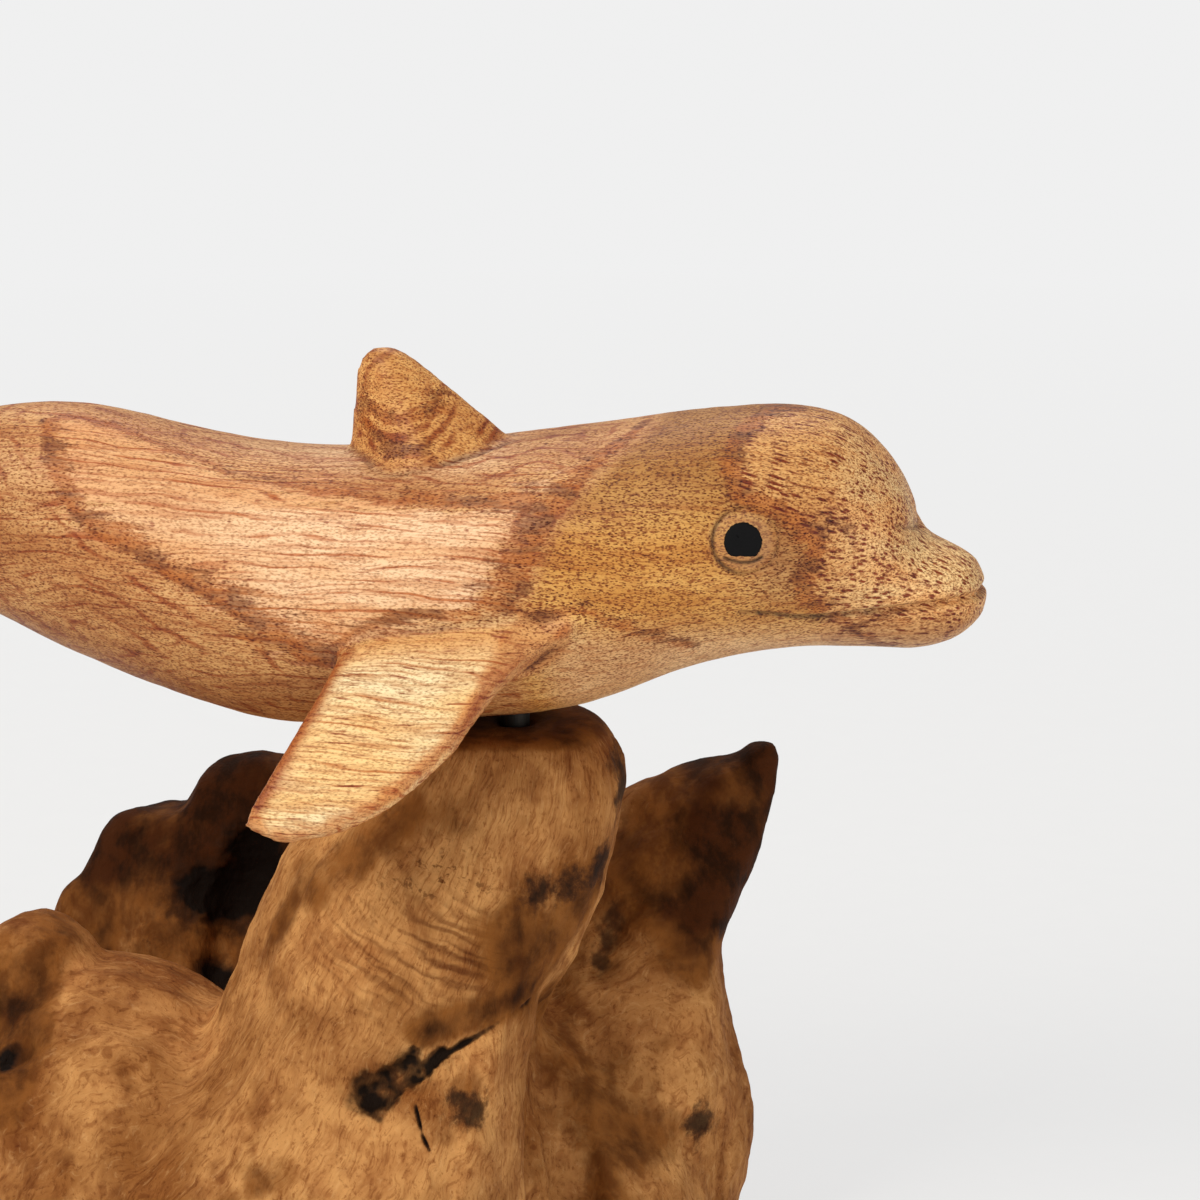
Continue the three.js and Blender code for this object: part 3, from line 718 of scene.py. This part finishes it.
def fibre_places(points):
    """Places measured round and along the post, so that fibres run up it and out along the limbs."""
    x, y, z = points.T
    axis_z, axis_x, axis_y = np.array(POST_AXIS).T
    across_x = x - np.interp(z, axis_z, axis_x)
    across_y = y - np.interp(z, axis_z, axis_y)
    reach = np.hypot(across_x, across_y)
    turn = FIBRE_ROUND / np.maximum(reach, 1)
    return np.column_stack([across_x * turn, across_y * turn, z - FIBRE_SLOPE * reach])


def shape_root(piece):
    mesh = piece.data
    edges = edges_of(mesh)
    points = relax(points_of(mesh), edges, ROOT_ROUNDS)
    place_points(mesh, points)
    height = points[:, 2]
    free = ease(STUMP_TOP - height, *CUT_EDGE) * ease(height, *CUT_EDGE)
    relief = waves(points, ROOT_WAVES) + waves(fibre_places(points), ROOT_FURROWS)
    place_points(mesh, points + normals_of(mesh) * (free * relief)[:, None])

    def closeness(at):
        cuts = [gap_to(at, spline(line))[0] / reach for line, *_, reach in CUTS]
        holes = [np.linalg.norm(at - place, axis=1) / (HOLE_REACH * size) for place, size, _ in HOLES]
        return np.minimum.reduce(cuts + holes)

    refine_near(mesh, closeness, ROOT_REACHES)
    points = points_of(mesh)
    cuts = cut_strength(points)
    points = points - normals_of(mesh) * (CUT_DEPTH * cuts)[:, None]
    points[:, 2] = np.clip(points[:, 2], 0, STUMP_TOP)
    place_points(mesh, points)
    return cuts


def cut_strength(points):
    """How strong cracks and holes are at each point."""
    wander = WANDER * noise_at(points, WANDER_SIZE)
    total = np.zeros(len(points))
    for line, strengths, widths, ragged, _ in CUTS:
        gap, along = gap_to(points, spline(line))
        share = bell(np.maximum(gap + ragged * wander, 0), between(widths, along))
        total = np.maximum(total, between(strengths, along) * share)
    for place, size, strength in HOLES:
        gap = np.linalg.norm(points - place, axis=1) + HOLE_RAGGED * wander
        total = np.maximum(total, strength * bell(np.maximum(gap, 0), size) ** HOLE_SHARP)
    return total


def bark_share(points):
    patches = [spot(points, place, size, 1) for place, size in BARK]
    return np.max(patches, axis=0) + BARK_FRAY * noise_at(points, BARK_FRAY_SIZE, 4)


def dark_and_shade_share(points):
    """How dark the root is drawn: darker on ridge, horn and knob, with painted shade at the seat and along
    lines.
    """
    x, y, _ = points.T
    ridge = zone(points, **RIDGE)
    horn = ease(x - HORN_LEAN * y, *HORN_SIDE) * zone(points, **HORN)
    horn *= between((HORN_REAR, 1), zone(points, **HORN_FRONT))
    knob = KNOB_STRENGTH * zone(points, **KNOB) * between((1, KNOB_FADE), zone(points, **KNOB_TOP))
    seat_shade = SEAT_SHADE_STRENGTH * zone(points, **SEAT_SHADE)
    dark_and_shade = np.maximum.reduce([ridge, horn, knob, seat_shade])
    for line, width, strength, limits in SHADES:
        shade = bell(gap_to(points, spline(line))[0], width) * zone(points, **limits)
        dark_and_shade = np.maximum(dark_and_shade, strength * shade)
    return dark_and_shade + DUSK_CLOUD * noise_at(points, DUSK_CLOUD_SIZE, 4)


def spot(points, place, shape, reach):
    """A soft spot, stretched along each axis by its shape."""
    return bell(np.linalg.norm((points - place) / shape, axis=1), reach)


def root_marks(piece, cuts):
    """Stores where bark, cracks, darker parts and painted shade show."""
    mesh = piece.data
    points = points_of(mesh)
    patches = [amount * spot(points, place, 1, reach) for place, reach, amount in PATCHES]
    keep(mesh, {
        "bark": bark_share(points),
        "cut": cuts,
        "dark_and_shade": dark_and_shade_share(points),
        "ripple": spot(points, *RIPPLES),
        "pitted": spot(points, *PITS),
        "pale": np.sum(patches, axis=0),
        "bend": bend_of(mesh),
        "fibre": fibre_places(points) * MM,
    })


# Shaders

class Value:
    """A number in a node tree. Arithmetic with it adds the nodes that work it out."""

    def __init__(self, shader, socket):
        self.shader = shader
        self.socket = socket

    def __add__(self, other):
        return self.shader.math("ADD", self, other)

    def __mul__(self, other):
        return self.shader.math("MULTIPLY", self, other)

    def __sub__(self, other):
        return self.shader.math("SUBTRACT", self, other)

    def __rsub__(self, other):
        return self.shader.math("SUBTRACT", other, self)

    __radd__ = __add__
    __rmul__ = __mul__


class Shader:
    """Builds the node tree of one material. Colours are display colours of 0 to 255."""

    def __init__(self, name):
        self.material = bpy.data.materials.new(name)
        self.material.use_nodes = True
        self.tree = self.material.node_tree
        self.surface = self.tree.nodes["Principled BSDF"]
        self.place = self.node("ShaderNodeTexCoord").outputs["Object"]

    def node(self, kind, inputs=None, **settings):
        made = self.tree.nodes.new(kind)
        for key, value in settings.items():
            setattr(made, key, value)
        self.fill(made, inputs or {})
        return made

    def fill(self, node, inputs):
        for key, value in inputs.items():
            self.put(node.inputs[key], value)

    def put(self, socket, value):
        if isinstance(value, Value):
            value = value.socket
        if isinstance(value, bpy.types.NodeSocket):
            self.tree.links.new(value, socket)
        elif socket.type == "RGBA":
            socket.default_value = srgb(*value)
        else:
            socket.default_value = value

    def math(self, operation, first, second=0.0):
        made = self.node("ShaderNodeMath", {0: first, 1: second}, operation=operation)
        return Value(self, made.outputs[0])

    def most(self, first, *others):
        for other in others:
            first = self.math("MAXIMUM", first, other)
        return first

    def vector(self, operation, first, second):
        return self.node("ShaderNodeVectorMath", {0: first, 1: second}, operation=operation).outputs[0]

    def stretched(self, x, y, z, place=None):
        """The place measured in lengths of its own along each axis."""
        return self.vector("MULTIPLY", place or self.place, (1 / (x * MM), 1 / (y * MM), 1 / (z * MM)))

    def axes(self, place):
        """A place's x, y and z in millimetres."""
        split = self.node("ShaderNodeSeparateXYZ", {0: self.stretched(1, 1, 1, place)})
        return [Value(self, socket) for socket in split.outputs]

    def lumps(self, sizes, place, detail=2.0, roughness=0.5):
        """Noise with lumps of the given size along each axis."""
        place = self.stretched(*sizes, place)
        inputs = {"Vector": place, "Scale": 1.0, "Detail": detail, "Roughness": roughness}
        return Value(self, self.node("ShaderNodeTexNoise", inputs).outputs["Fac"])

    def warped(self, sizes, amount, place=None):
        """A place, pushed about by slow noise."""
        inputs = {"Vector": self.stretched(*sizes), "Scale": 1.0, "Detail": 2.0}
        drift = self.node("ShaderNodeTexNoise", inputs).outputs["Color"]
        push = self.vector("SUBTRACT", drift, (0.5, 0.5, 0.5))
        return self.vector("ADD", place or self.place, self.vector("MULTIPLY", push, (amount * MM,) * 3))

    def cells(self, place):
        """Distance to the middle of the nearest cell, and that cell's chance."""
        made = self.node("ShaderNodeTexVoronoi", {"Vector": place, "Scale": 1.0})
        tint = self.node("ShaderNodeSeparateColor", {0: made.outputs["Color"]})
        return Value(self, made.outputs["Distance"]), Value(self, tint.outputs[0])

    def step(self, value, low, high):
        """A soft step: 0 at low and 1 at high, in either order."""
        inputs = {"Value": value, "From Min": low, "From Max": high}
        made = self.node("ShaderNodeMapRange", inputs, interpolation_type="SMOOTHSTEP")
        return Value(self, made.outputs["Result"])

    def attribute(self, name):
        return Value(self, self.node("ShaderNodeAttribute", attribute_name=name).outputs["Fac"])

    def attributes(self, *names):
        return [self.attribute(name) for name in names]

    def blend(self, factor, under, over, kind="MIX"):
        made = self.node("ShaderNodeMix", {0: factor, 6: under, 7: over}, data_type="RGBA", blend_type=kind)
        return made.outputs[2]

    def darken(self, colour, factor, tint):
        """Multiplies a colour by a tint, as far as the factor says."""
        return self.blend(factor, colour, tint, "MULTIPLY")

    def stain(self, colour, value, limits, strength, tint):
        """Darkens a colour where a value passes from the first limit to the second."""
        return self.darken(colour, self.step(value, *limits) * strength, tint)

    def coat(self, colour, roughness, specular=0.5, metallic=0.0):
        self.fill(self.surface, {"Base Color": colour, "Roughness": roughness,
                                 "Specular IOR Level": specular, "Metallic": metallic})

    def bump(self, height, distance):
        made = self.node("ShaderNodeBump", {"Height": height, "Distance": distance * MM})
        self.fill(self.surface, {"Normal": made.outputs[0]})


def pores(s, place, along, across):
    """Fine dark pores that lie along the grain."""
    distance, chance = s.cells(s.stretched(along, across, across, place))
    return s.step(distance, 0.46, 0.14) * s.step(chance, 0, 0.3)


def dashes(s, place, along, across, share):
    """Longer dark marks along the grain. Share is the part of the cells that have one."""
    distance, chance = s.cells(s.stretched(along, across, across, place))
    return s.step(distance, 0.6, 0.24) * s.step(chance + share, 0.88, 1.1)


def thin_lines(s, value, spacing, width, strength):
    """Thin lines at even steps of a value in millimetres."""
    return s.step(s.math("PINGPONG", value, spacing / 2), width, 0.2 * width) * strength


def layer_lines(s, place):
    """Lines along the body, where the layers of the wood come to the surface."""
    slow = s.lumps((44, 8, 8), place, 2, 0.45)
    shiver = s.lumps((6, 1.8, 1.8), place)
    x, y, z = s.axes(place)
    depth = z + 0.4 * y + 0.05 * x + 9 * slow + 1.3 * shiver
    bold = s.step(s.lumps((22, 1.6, 1.6), place), 0.4, 0.58)
    faint = s.step(s.lumps((12, 1.2, 1.2), place), 0.4, 0.6)
    lines = thin_lines(s, depth, 2.2, 0.3, bold)
    return s.most(lines, 0.65 * thin_lines(s, depth, 0.9, 0.22, faint))


def ring_lines(s, place, tongue):
    """Lines that follow the outline of the pale tongue, one layer of the wood after the other."""
    slow = s.lumps((26, 12, 12), place)
    shiver = s.lumps((4, 1.8, 1.8), place, 3, 0.6)
    depth = tongue + 8 * (slow - 0.5) + 2.4 * (shiver - 0.5)
    strength = s.step(s.lumps((9, 5, 5), place), 0.36, 0.6)
    lines = thin_lines(s, depth, 3.6, 0.55, strength)
    lines = lines * s.step(tongue, -1, -2.2) * s.step(tongue, -30, -14)
    rim = s.math("ABSOLUTE", tongue + 2.4 * (shiver - 0.5))
    return s.most(lines, 0.8 * s.step(rim, 0.8, 0.2) * strength)


def arch_lines(s, place):
    """Arched layers round the golden oval of the dorsal fin."""
    shiver = s.lumps((3, 2.4, 1.6), place, 3, 0.6)
    reach = s.attribute("arch") + 2.6 * (shiver - 0.5)
    strength = s.step(s.lumps((4, 3, 3), place), 0.34, 0.6)
    return thin_lines(s, reach, 2.1, 0.8, strength) * s.step(reach, 3, 5)


def fin_stripes(s, place):
    """Short level stripes across a pectoral fin."""
    long = s.step(s.lumps((6, 3, 0.34), place), 0.58, 0.69)
    return long * s.step(s.lumps((7, 7, 4), place), 0.36, 0.56)


def wood_and_light_zones(s, pale, flow):
    """The ground colour of each zone of the carving, with painted shade and painted light in some zones."""
    def tone(dark, light):
        return s.blend(flow, dark, light)

    def spread(colour, mark, dark, light, strength=1.0):
        return s.blend(s.attribute(mark) * strength, colour, tone(dark, light))

    far = s.step(s.attribute("tongue"), -1, -13)
    colour = s.blend(far, tone((206, 148, 90), (226, 176, 118)), tone((184, 126, 70), (206, 154, 96)))
    # Painted shade on the underside
    colour = spread(colour, "under", (182, 126, 70), (204, 152, 90), 0.7)
    # Painted highlight along the back
    colour = spread(colour, "back", (250, 206, 156), (255, 226, 184), 0.9)
    dim = tone((230, 168, 110), (242, 192, 140))
    # The tongue paler towards the fin: partly the wood, partly a painted highlight on the flank
    colour = s.blend(pale, colour, spread(dim, "bright", (242, 188, 134), (254, 214, 170)))
    golden = tone((206, 145, 68), (226, 173, 95))
    cheek = spread(golden, "crown", (166, 111, 49), (188, 135, 69))
    # Painted bounce light under the chin and throat
    cheek = spread(cheek, "chin", (224, 176, 122), (242, 202, 150), 0.9)
    # Painted shade in front of the eye
    cheek = spread(cheek, "socket", (168, 120, 74), (188, 142, 94), 0.8)
    colour = s.blend(s.attribute("head"), colour, cheek)
    crest = tone((212, 153, 88), (230, 177, 110))
    # Paler beak wood, with a painted highlight on the beak and the front of the melon
    brow = spread(crest, "beak", (252, 196, 128), (255, 218, 156))
    brow = spread(brow, "chin", (200, 150, 100), (218, 174, 124))
    colour = s.blend(s.attribute("melon"), colour, brow)
    colour = spread(colour, "fin", (255, 214, 146), (255, 234, 184))
    colour = spread(colour, "shoulder", (218, 150, 76), (232, 174, 100), 0.9)
    colour = spread(colour, "strip", (200, 134, 74), (220, 160, 98), 0.9)
    return spread(colour, "dorsal", (214, 152, 84), (234, 178, 106))


def draw_grain(s, place, colour):
    """Draws the lines of the grain. Also returns the layer lines, for the relief."""
    tongue, fin, melon, head, dorsal = s.attributes("tongue", "fin", "melon", "head", "dorsal")
    lines = layer_lines(s, place) * (1 - 0.8 * s.most(head, dorsal))
    rings = ring_lines(s, place, tongue) * (1 - s.most(head, dorsal, fin))
    arcs = arch_lines(s, place) * dorsal * (1 - melon)
    stripes = fin_stripes(s, place) * fin
    colour = s.darken(colour, 0.9 * lines, (198, 138, 94))
    colour = s.darken(colour, 0.8 * rings, (200, 136, 86))
    colour = s.darken(colour, 0.9 * arcs, (176, 114, 78))
    return s.darken(colour, 0.95 * stripes, (176, 118, 92)), lines


def draw_bands(s, colour, streaks, mottle, canvas):
    """Draws the dark bands with feathered edges."""
    band = s.attribute("band")
    feather = 1.8 * (streaks - 0.5) + 1.2 * (mottle - 0.5) + 1.2 * (canvas - 0.5)
    tint = s.step(band + feather * s.step(band, 0, 0.25), 0.12, 0.85)
    rust = s.blend(s.step(mottle, 0.42, 0.6), (184, 107, 43), (130, 71, 26))
    return s.blend(0.74 * tint, colour, rust)


def draw_flecks(s, place, colour, mottle):
    """Draws dark flecks, many and long on the melon, fewer and short elsewhere."""
    band, fin, melon, dorsal, beak = s.attributes("band", "fin", "melon", "dorsal", "beak")
    share = 0.35 * band + 0.48 * melon + 0.06 * dorsal
    share = share + 0.12 * beak - 0.04 + 1.7 * (mottle - 0.5)
    short = dashes(s, place, 0.9, 0.36, share) * (0.75 - 0.45 * melon)
    slant = s.node("ShaderNodeVectorRotate", {"Vector": place, "Angle": FLECK_TILT}, rotation_type="Y_AXIS")
    long = dashes(s, slant.outputs[0], 3.4, 0.5, share) * s.most(melon, 0.25)
    flecks = s.most(long, short) * (1 - fin)
    return s.darken(colour, flecks, s.blend(melon, (164, 98, 74), (148, 82, 58)))


def draw_pores(s, colour, holes, pale, canvas, silk_and_sheen):
    """Draws the pores, the weave between them and a painted sheen in streaks, weaker on light wood, and
    specks on the cheek.
    """
    band, fin, melon, head, chin = s.attributes("band", "fin", "melon", "head", "chin")
    light = s.most(pale, fin, chin)
    deep = 0.8 + 0.4 * band - 0.35 * light
    colour = s.darken(colour, holes * deep, (170, 128, 98))
    colour = s.stain(colour, canvas, (0.5, 0.66), 0.85 - 0.3 * light, (190, 148, 116))
    # Painted sheen: lighter streaks where the silk noise is high
    colour = s.stain(colour, silk_and_sheen, (0.6, 0.3), 0.5 - 0.2 * light, (206, 176, 146))
    cheek = head * (1 - 0.6 * melon)
    specks = cheek * (0.5 * holes + 0.4 * s.step(canvas, 0.48, 0.66))
    return s.darken(colour, specks, (172, 126, 92))


def draw_carving(s, colour, mottle):
    """Draws the iris, painted shade along the rear edge of the fins, worn edges, painted shade in hollows
    and painted shade in carved lines.
    """
    iris, rear_edge_shade, fin, bend, groove = s.attributes("iris", "rear_edge_shade", "fin", "bend", "groove")
    colour = s.blend(0.25 * iris, colour, (198, 150, 108))
    # Painted shade along the fins' rear edge
    colour = s.darken(colour, 0.8 * rear_edge_shade, (186, 134, 88))
    colour = s.stain(colour, bend, (0.05, 0.3), 0.5, (190, 148, 110))
    colour = s.stain(colour, bend, (0.02, 0.14), 0.7 * fin, (226, 164, 104))
    # Painted shade in hollows
    colour = s.stain(colour, bend, (-0.03, -0.25), 0.9, (136, 96, 66))
    # Painted shade in the carved lines
    return s.blend(s.math("MINIMUM", groove * (0.7 + mottle), 1), colour, (58, 36, 20))


def carving_wood():
    s = Shader("carved_hardwood")
    place = s.warped((24, 12, 12), 2.2)
    flow = s.step(s.lumps((26, 6, 6), place, 3), 0.36, 0.64)
    mottle = s.lumps((6, 2, 2), place, 3, 0.6)
    streaks = s.lumps((16, 0.9, 0.9), place, 3, 0.6)
    silk_and_sheen = s.lumps((2.6, 0.3, 0.3), place, 3, 0.65)
    canvas = s.lumps((0.62, 0.22, 0.22), place, 1)
    ragged = 16 * (streaks - 0.5) + 8 * (mottle - 0.5)
    pale = s.step(s.attribute("tongue") + ragged, -1.4, 2)
    holes = pores(s, place, 0.66, 0.25)
    holes = holes + s.attribute("head") * (pores(s, place, 0.54, 0.25) - holes)

    colour = wood_and_light_zones(s, pale, flow)
    colour = s.stain(colour, streaks, (0.48, 0.68), 0.55, (210, 166, 130))
    colour, lines = draw_grain(s, place, colour)
    colour = draw_bands(s, colour, streaks, mottle, canvas)
    colour = draw_flecks(s, place, colour, mottle)
    colour = draw_pores(s, colour, holes, pale, canvas, silk_and_sheen)
    colour = draw_carving(s, colour, mottle)
    s.coat(colour, 0.44 + 0.12 * silk_and_sheen + 0.2 * holes, 0.3)
    s.bump(0.4 * silk_and_sheen - holes - 0.5 * lines, 0.06)
    return s.material


def ripple_lines(s, place):
    """Fine wavy lines across the grain of the post."""
    x, _, z = s.axes(place)
    level = z + 0.58 * x + 4 * s.lumps((8, 8, 4), place)
    across = s.node("ShaderNodeCombineXYZ", {0: MM * x, 2: MM * level}).outputs[0]
    strength = s.step(s.lumps((10, 10, 10 / 7), across), 0.4, 0.62)
    return thin_lines(s, level, 1.7, 0.7, strength) * s.attribute("ripple")


def worm_pits(s, place):
    """Small ragged pits on the upper post."""
    pits = s.step(s.lumps((1.5, 1.5, 1.1), place, 3, 0.7), 0.56, 0.66)
    return pits * s.attribute("pitted")


def draw_dark_and_shade(s, colour, blotch, mottle):
    """Draws the darker parts and the painted shade, umber where they are half dark."""
    shade = s.attribute("dark_and_shade") + 0.7 * (blotch - 0.5)
    clouds = s.step(mottle, 0.4, 0.62)
    umber = s.blend(clouds, (130, 78, 32), (98, 54, 18))
    gloom = s.blend(clouds, (64, 29, 6), (36, 15, 2))
    colour = s.blend(0.92 * s.step(shade, 0.05, 0.5), colour, umber)
    return s.blend(0.96 * s.step(shade, 0.45, 0.95), colour, gloom)


def draw_bark(s, colour, fray):
    """Draws the bark. Also returns where it lies, for the relief."""
    bark = s.attribute("bark") + fray
    skin = s.step(bark, 0.3, 0.75)
    crust = s.blend(s.step(bark, 0.5, 1), (84, 48, 24), (26, 15, 10))
    return s.blend(0.9 * skin, colour, crust), skin


def draw_cuts(s, colour, fray):
    """Draws painted shade in cracks and holes, brown at their edge and nearly black inside."""
    torn = s.attribute("cut") + 0.7 * fray
    colour = s.blend(0.85 * s.step(torn, 0.15, 0.9), colour, (54, 29, 13))
    return s.blend(0.95 * s.step(torn, 0.7, 1.7), colour, (14, 8, 5))


def root_wood():
    s = Shader("root_wood")
    place = s.warped((30, 30, 40), 8)
    fibre_at = s.node("ShaderNodeAttribute", attribute_name="fibre").outputs["Vector"]
    fibre_at = s.warped((5, 5, 6), 4, fibre_at)
    cloud = s.lumps((17, 17, 22), place, 4, 0.6)
    blotch = s.lumps((8, 8, 10), place, 4, 0.65)
    mottle = s.lumps((4, 4, 6), place, 4, 0.62)
    grit = s.lumps((0.6, 0.6, 0.9), place, 3, 0.7)
    strand = s.lumps((2.6, 2.6, 30), fibre_at, 3, 0.55)
    fibre = s.lumps((0.5, 0.5, 4), fibre_at, 4, 0.65)
    fray = 1.1 * (s.lumps((1.1, 1.1, 1.4), place, 4, 0.7) - 0.5)
    ripples = ripple_lines(s, place)
    bend = s.attribute("bend")

    tone = cloud + 0.14 * s.attribute("pale")
    colour = s.blend(s.step(tone, 0.34, 0.66), (142, 88, 42), (204, 148, 88))
    colour = s.stain(colour, blotch, (0.46, 0.66), 0.45, (168, 118, 74))
    colour = s.stain(colour, strand, (0.5, 0.7), 0.35, (172, 124, 80))
    colour = s.stain(colour, mottle, (0.5, 0.7), 0.5, (172, 124, 84))
    colour = s.stain(colour, fibre, (0.5, 0.66), 0.5, (162, 114, 72))
    colour = s.blend(0.2 * s.step(fibre, 0.46, 0.3), colour, (232, 184, 122))
    colour = s.stain(colour, grit, (0.54, 0.72), 0.55, (160, 112, 74))
    colour = s.darken(colour, 0.7 * ripples, (136, 92, 58))
    colour = s.darken(colour, 0.8 * worm_pits(s, place), (122, 84, 56))
    # Painted shade in hollows and a painted highlight on bumps
    colour = s.stain(colour, bend, (-0.05, -0.5), 0.9, (126, 82, 50))
    colour = s.blend(0.3 * s.step(bend, 0.12, 0.7), colour, (220, 168, 104))
    # Darker parts of the root, and painted shade
    colour = draw_dark_and_shade(s, colour, blotch, mottle)
    colour, skin = draw_bark(s, colour, fray)
    colour = draw_cuts(s, colour, fray)
    s.coat(colour, 0.65 + 0.25 * fibre, 0.08)
    relief = 0.45 * fibre + 0.6 * strand + 0.2 * grit
    s.bump(relief + 0.35 * skin - 0.4 * ripples, 0.4)
    return s.material


def pin_steel():
    s = Shader("pin_steel")
    brushed = s.lumps((2, 2, 0.08), s.place, 3, 0.6)
    # The steel is drawn darker than bare steel, as painted shade in the gap under the belly
    colour = s.blend(brushed, (44, 41, 38), (74, 70, 66))
    s.coat(colour, 0.45 + 0.25 * brushed, metallic=1.0)
    s.bump(brushed, 0.02)
    return s.material


def pupil_paint():
    s = Shader("pupil_paint")
    stroke = s.lumps((0.8, 0.8, 0.8), s.place, 3, 0.6)
    s.coat(s.blend(stroke, (4, 4, 5), (18, 18, 20)), 0.55 + 0.3 * stroke, 0.12)
    s.bump(stroke, 0.08)
    return s.material


def floor_paper():
    """White card. The camera sees it near white, with the object's shadow, and without a horizon."""
    s = Shader("pale_floor")
    grain = s.lumps((6, 6, 6), s.place, 3, 0.6)
    s.coat(s.blend(grain, (226, 226, 226), (232, 232, 231)), 0.9, 0.1)
    glow = s.node("ShaderNodeEmission", {"Strength": BACKGROUND})
    path = s.node("ShaderNodeLightPath").outputs
    seen = s.most(path["Is Camera Ray"], path["Is Glossy Ray"], path["Is Transmission Ray"])
    reach = s.node("ShaderNodeVectorMath", {0: s.place}, operation="LENGTH").outputs["Value"]
    fade = {"Value": reach, "From Min": FLOOR_NEAR * MM, "From Max": FLOOR_FAR * MM, "To Min": NEAR_SHARE}
    clear = s.node("ShaderNodeMapRange", fade).outputs["Result"]
    both = s.node("ShaderNodeMixShader", {0: seen * clear, 1: s.surface.outputs[0], 2: glow.outputs[0]})
    s.fill(s.tree.nodes["Material Output"], {"Surface": both.outputs[0]})
    return s.material


# Stage

def add_floor():
    bpy.ops.mesh.primitive_plane_add(size=FLOOR_SIZE * MM)
    floor = bpy.context.object
    floor.name = "floor"
    floor.data.materials.append(floor_paper())


def aim(thing, target):
    way = Vector(target) * MM - thing.location
    thing.rotation_euler = way.to_track_quat("-Z", "Y").to_euler()


def add_lamp(name, place, size, power, colour):
    lamp = bpy.data.lights.new(name, "AREA")
    lamp.size = size * MM
    lamp.energy = power
    lamp.color = colour
    thing = new_object(name, lamp)
    thing.location = Vector(place) * MM
    aim(thing, VIEW_TARGET)


def add_sky():
    world = bpy.data.worlds.new("studio")
    bpy.context.scene.world = world
    world.use_nodes = True
    tree = world.node_tree
    path = tree.nodes.new("ShaderNodeLightPath").outputs
    level = tree.nodes.new("ShaderNodeMapRange")
    level.inputs["To Min"].default_value = SKY
    level.inputs["To Max"].default_value = BACKGROUND
    tree.links.new(path["Is Camera Ray"], level.inputs["Value"])
    tree.links.new(level.outputs["Result"], tree.nodes["Background"].inputs["Strength"])
    tree.nodes["Background"].inputs["Color"].default_value = (1, 1, 1, 1)


def add_camera():
    lens = bpy.data.cameras.new("camera")
    lens.sensor_width = SENSOR
    lens.lens = LENS
    camera = new_object("camera", lens)
    flat = math.cos(VIEW_ELEVATION)
    back = Vector((math.sin(VIEW_AZIMUTH) * flat, -math.cos(VIEW_AZIMUTH) * flat, math.sin(VIEW_ELEVATION)))
    camera.location = (Vector(VIEW_TARGET) + VIEW_DISTANCE * back) * MM
    aim(camera, VIEW_TARGET)
    bpy.context.scene.camera = camera


def dress_dolphin():
    piece = dense_copy("dolphin_body", "carved_dolphin", CARVING_NET)
    eyes, mouth = carve_dolphin(piece)
    dolphin_marks(piece, eyes, mouth)
    piece.data.materials.append(carving_wood())
    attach(piece, "dolphin")
    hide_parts("dolphin_body")
    skin = BVHTree.FromObject(piece, bpy.context.evaluated_depsgraph_get())
    paint = pupil_paint()
    for name, centre in zip(("right_pupil", "left_pupil"), eyes):
        paint_pupil(name + "_spot", name, centre, skin).data.materials.append(paint)
    return piece


def dress_root():
    piece = dense_copy("root_base", "root_stand", ROOT_NET)
    root_marks(piece, shape_root(piece))
    piece.data.materials.append(root_wood())
    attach(piece, "stand")
    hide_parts("root_base")
    return piece


def dress_pin():
    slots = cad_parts["mounting_pin"].data.materials
    slots.clear()
    slots.append(pin_steel())


made = [dress_dolphin(), dress_root()]
dress_pin()
add_floor()
for name, row in LAMPS.items():
    add_lamp(name, *row)
add_sky()
add_camera()
bpy.context.scene.view_settings.view_transform = "Standard"
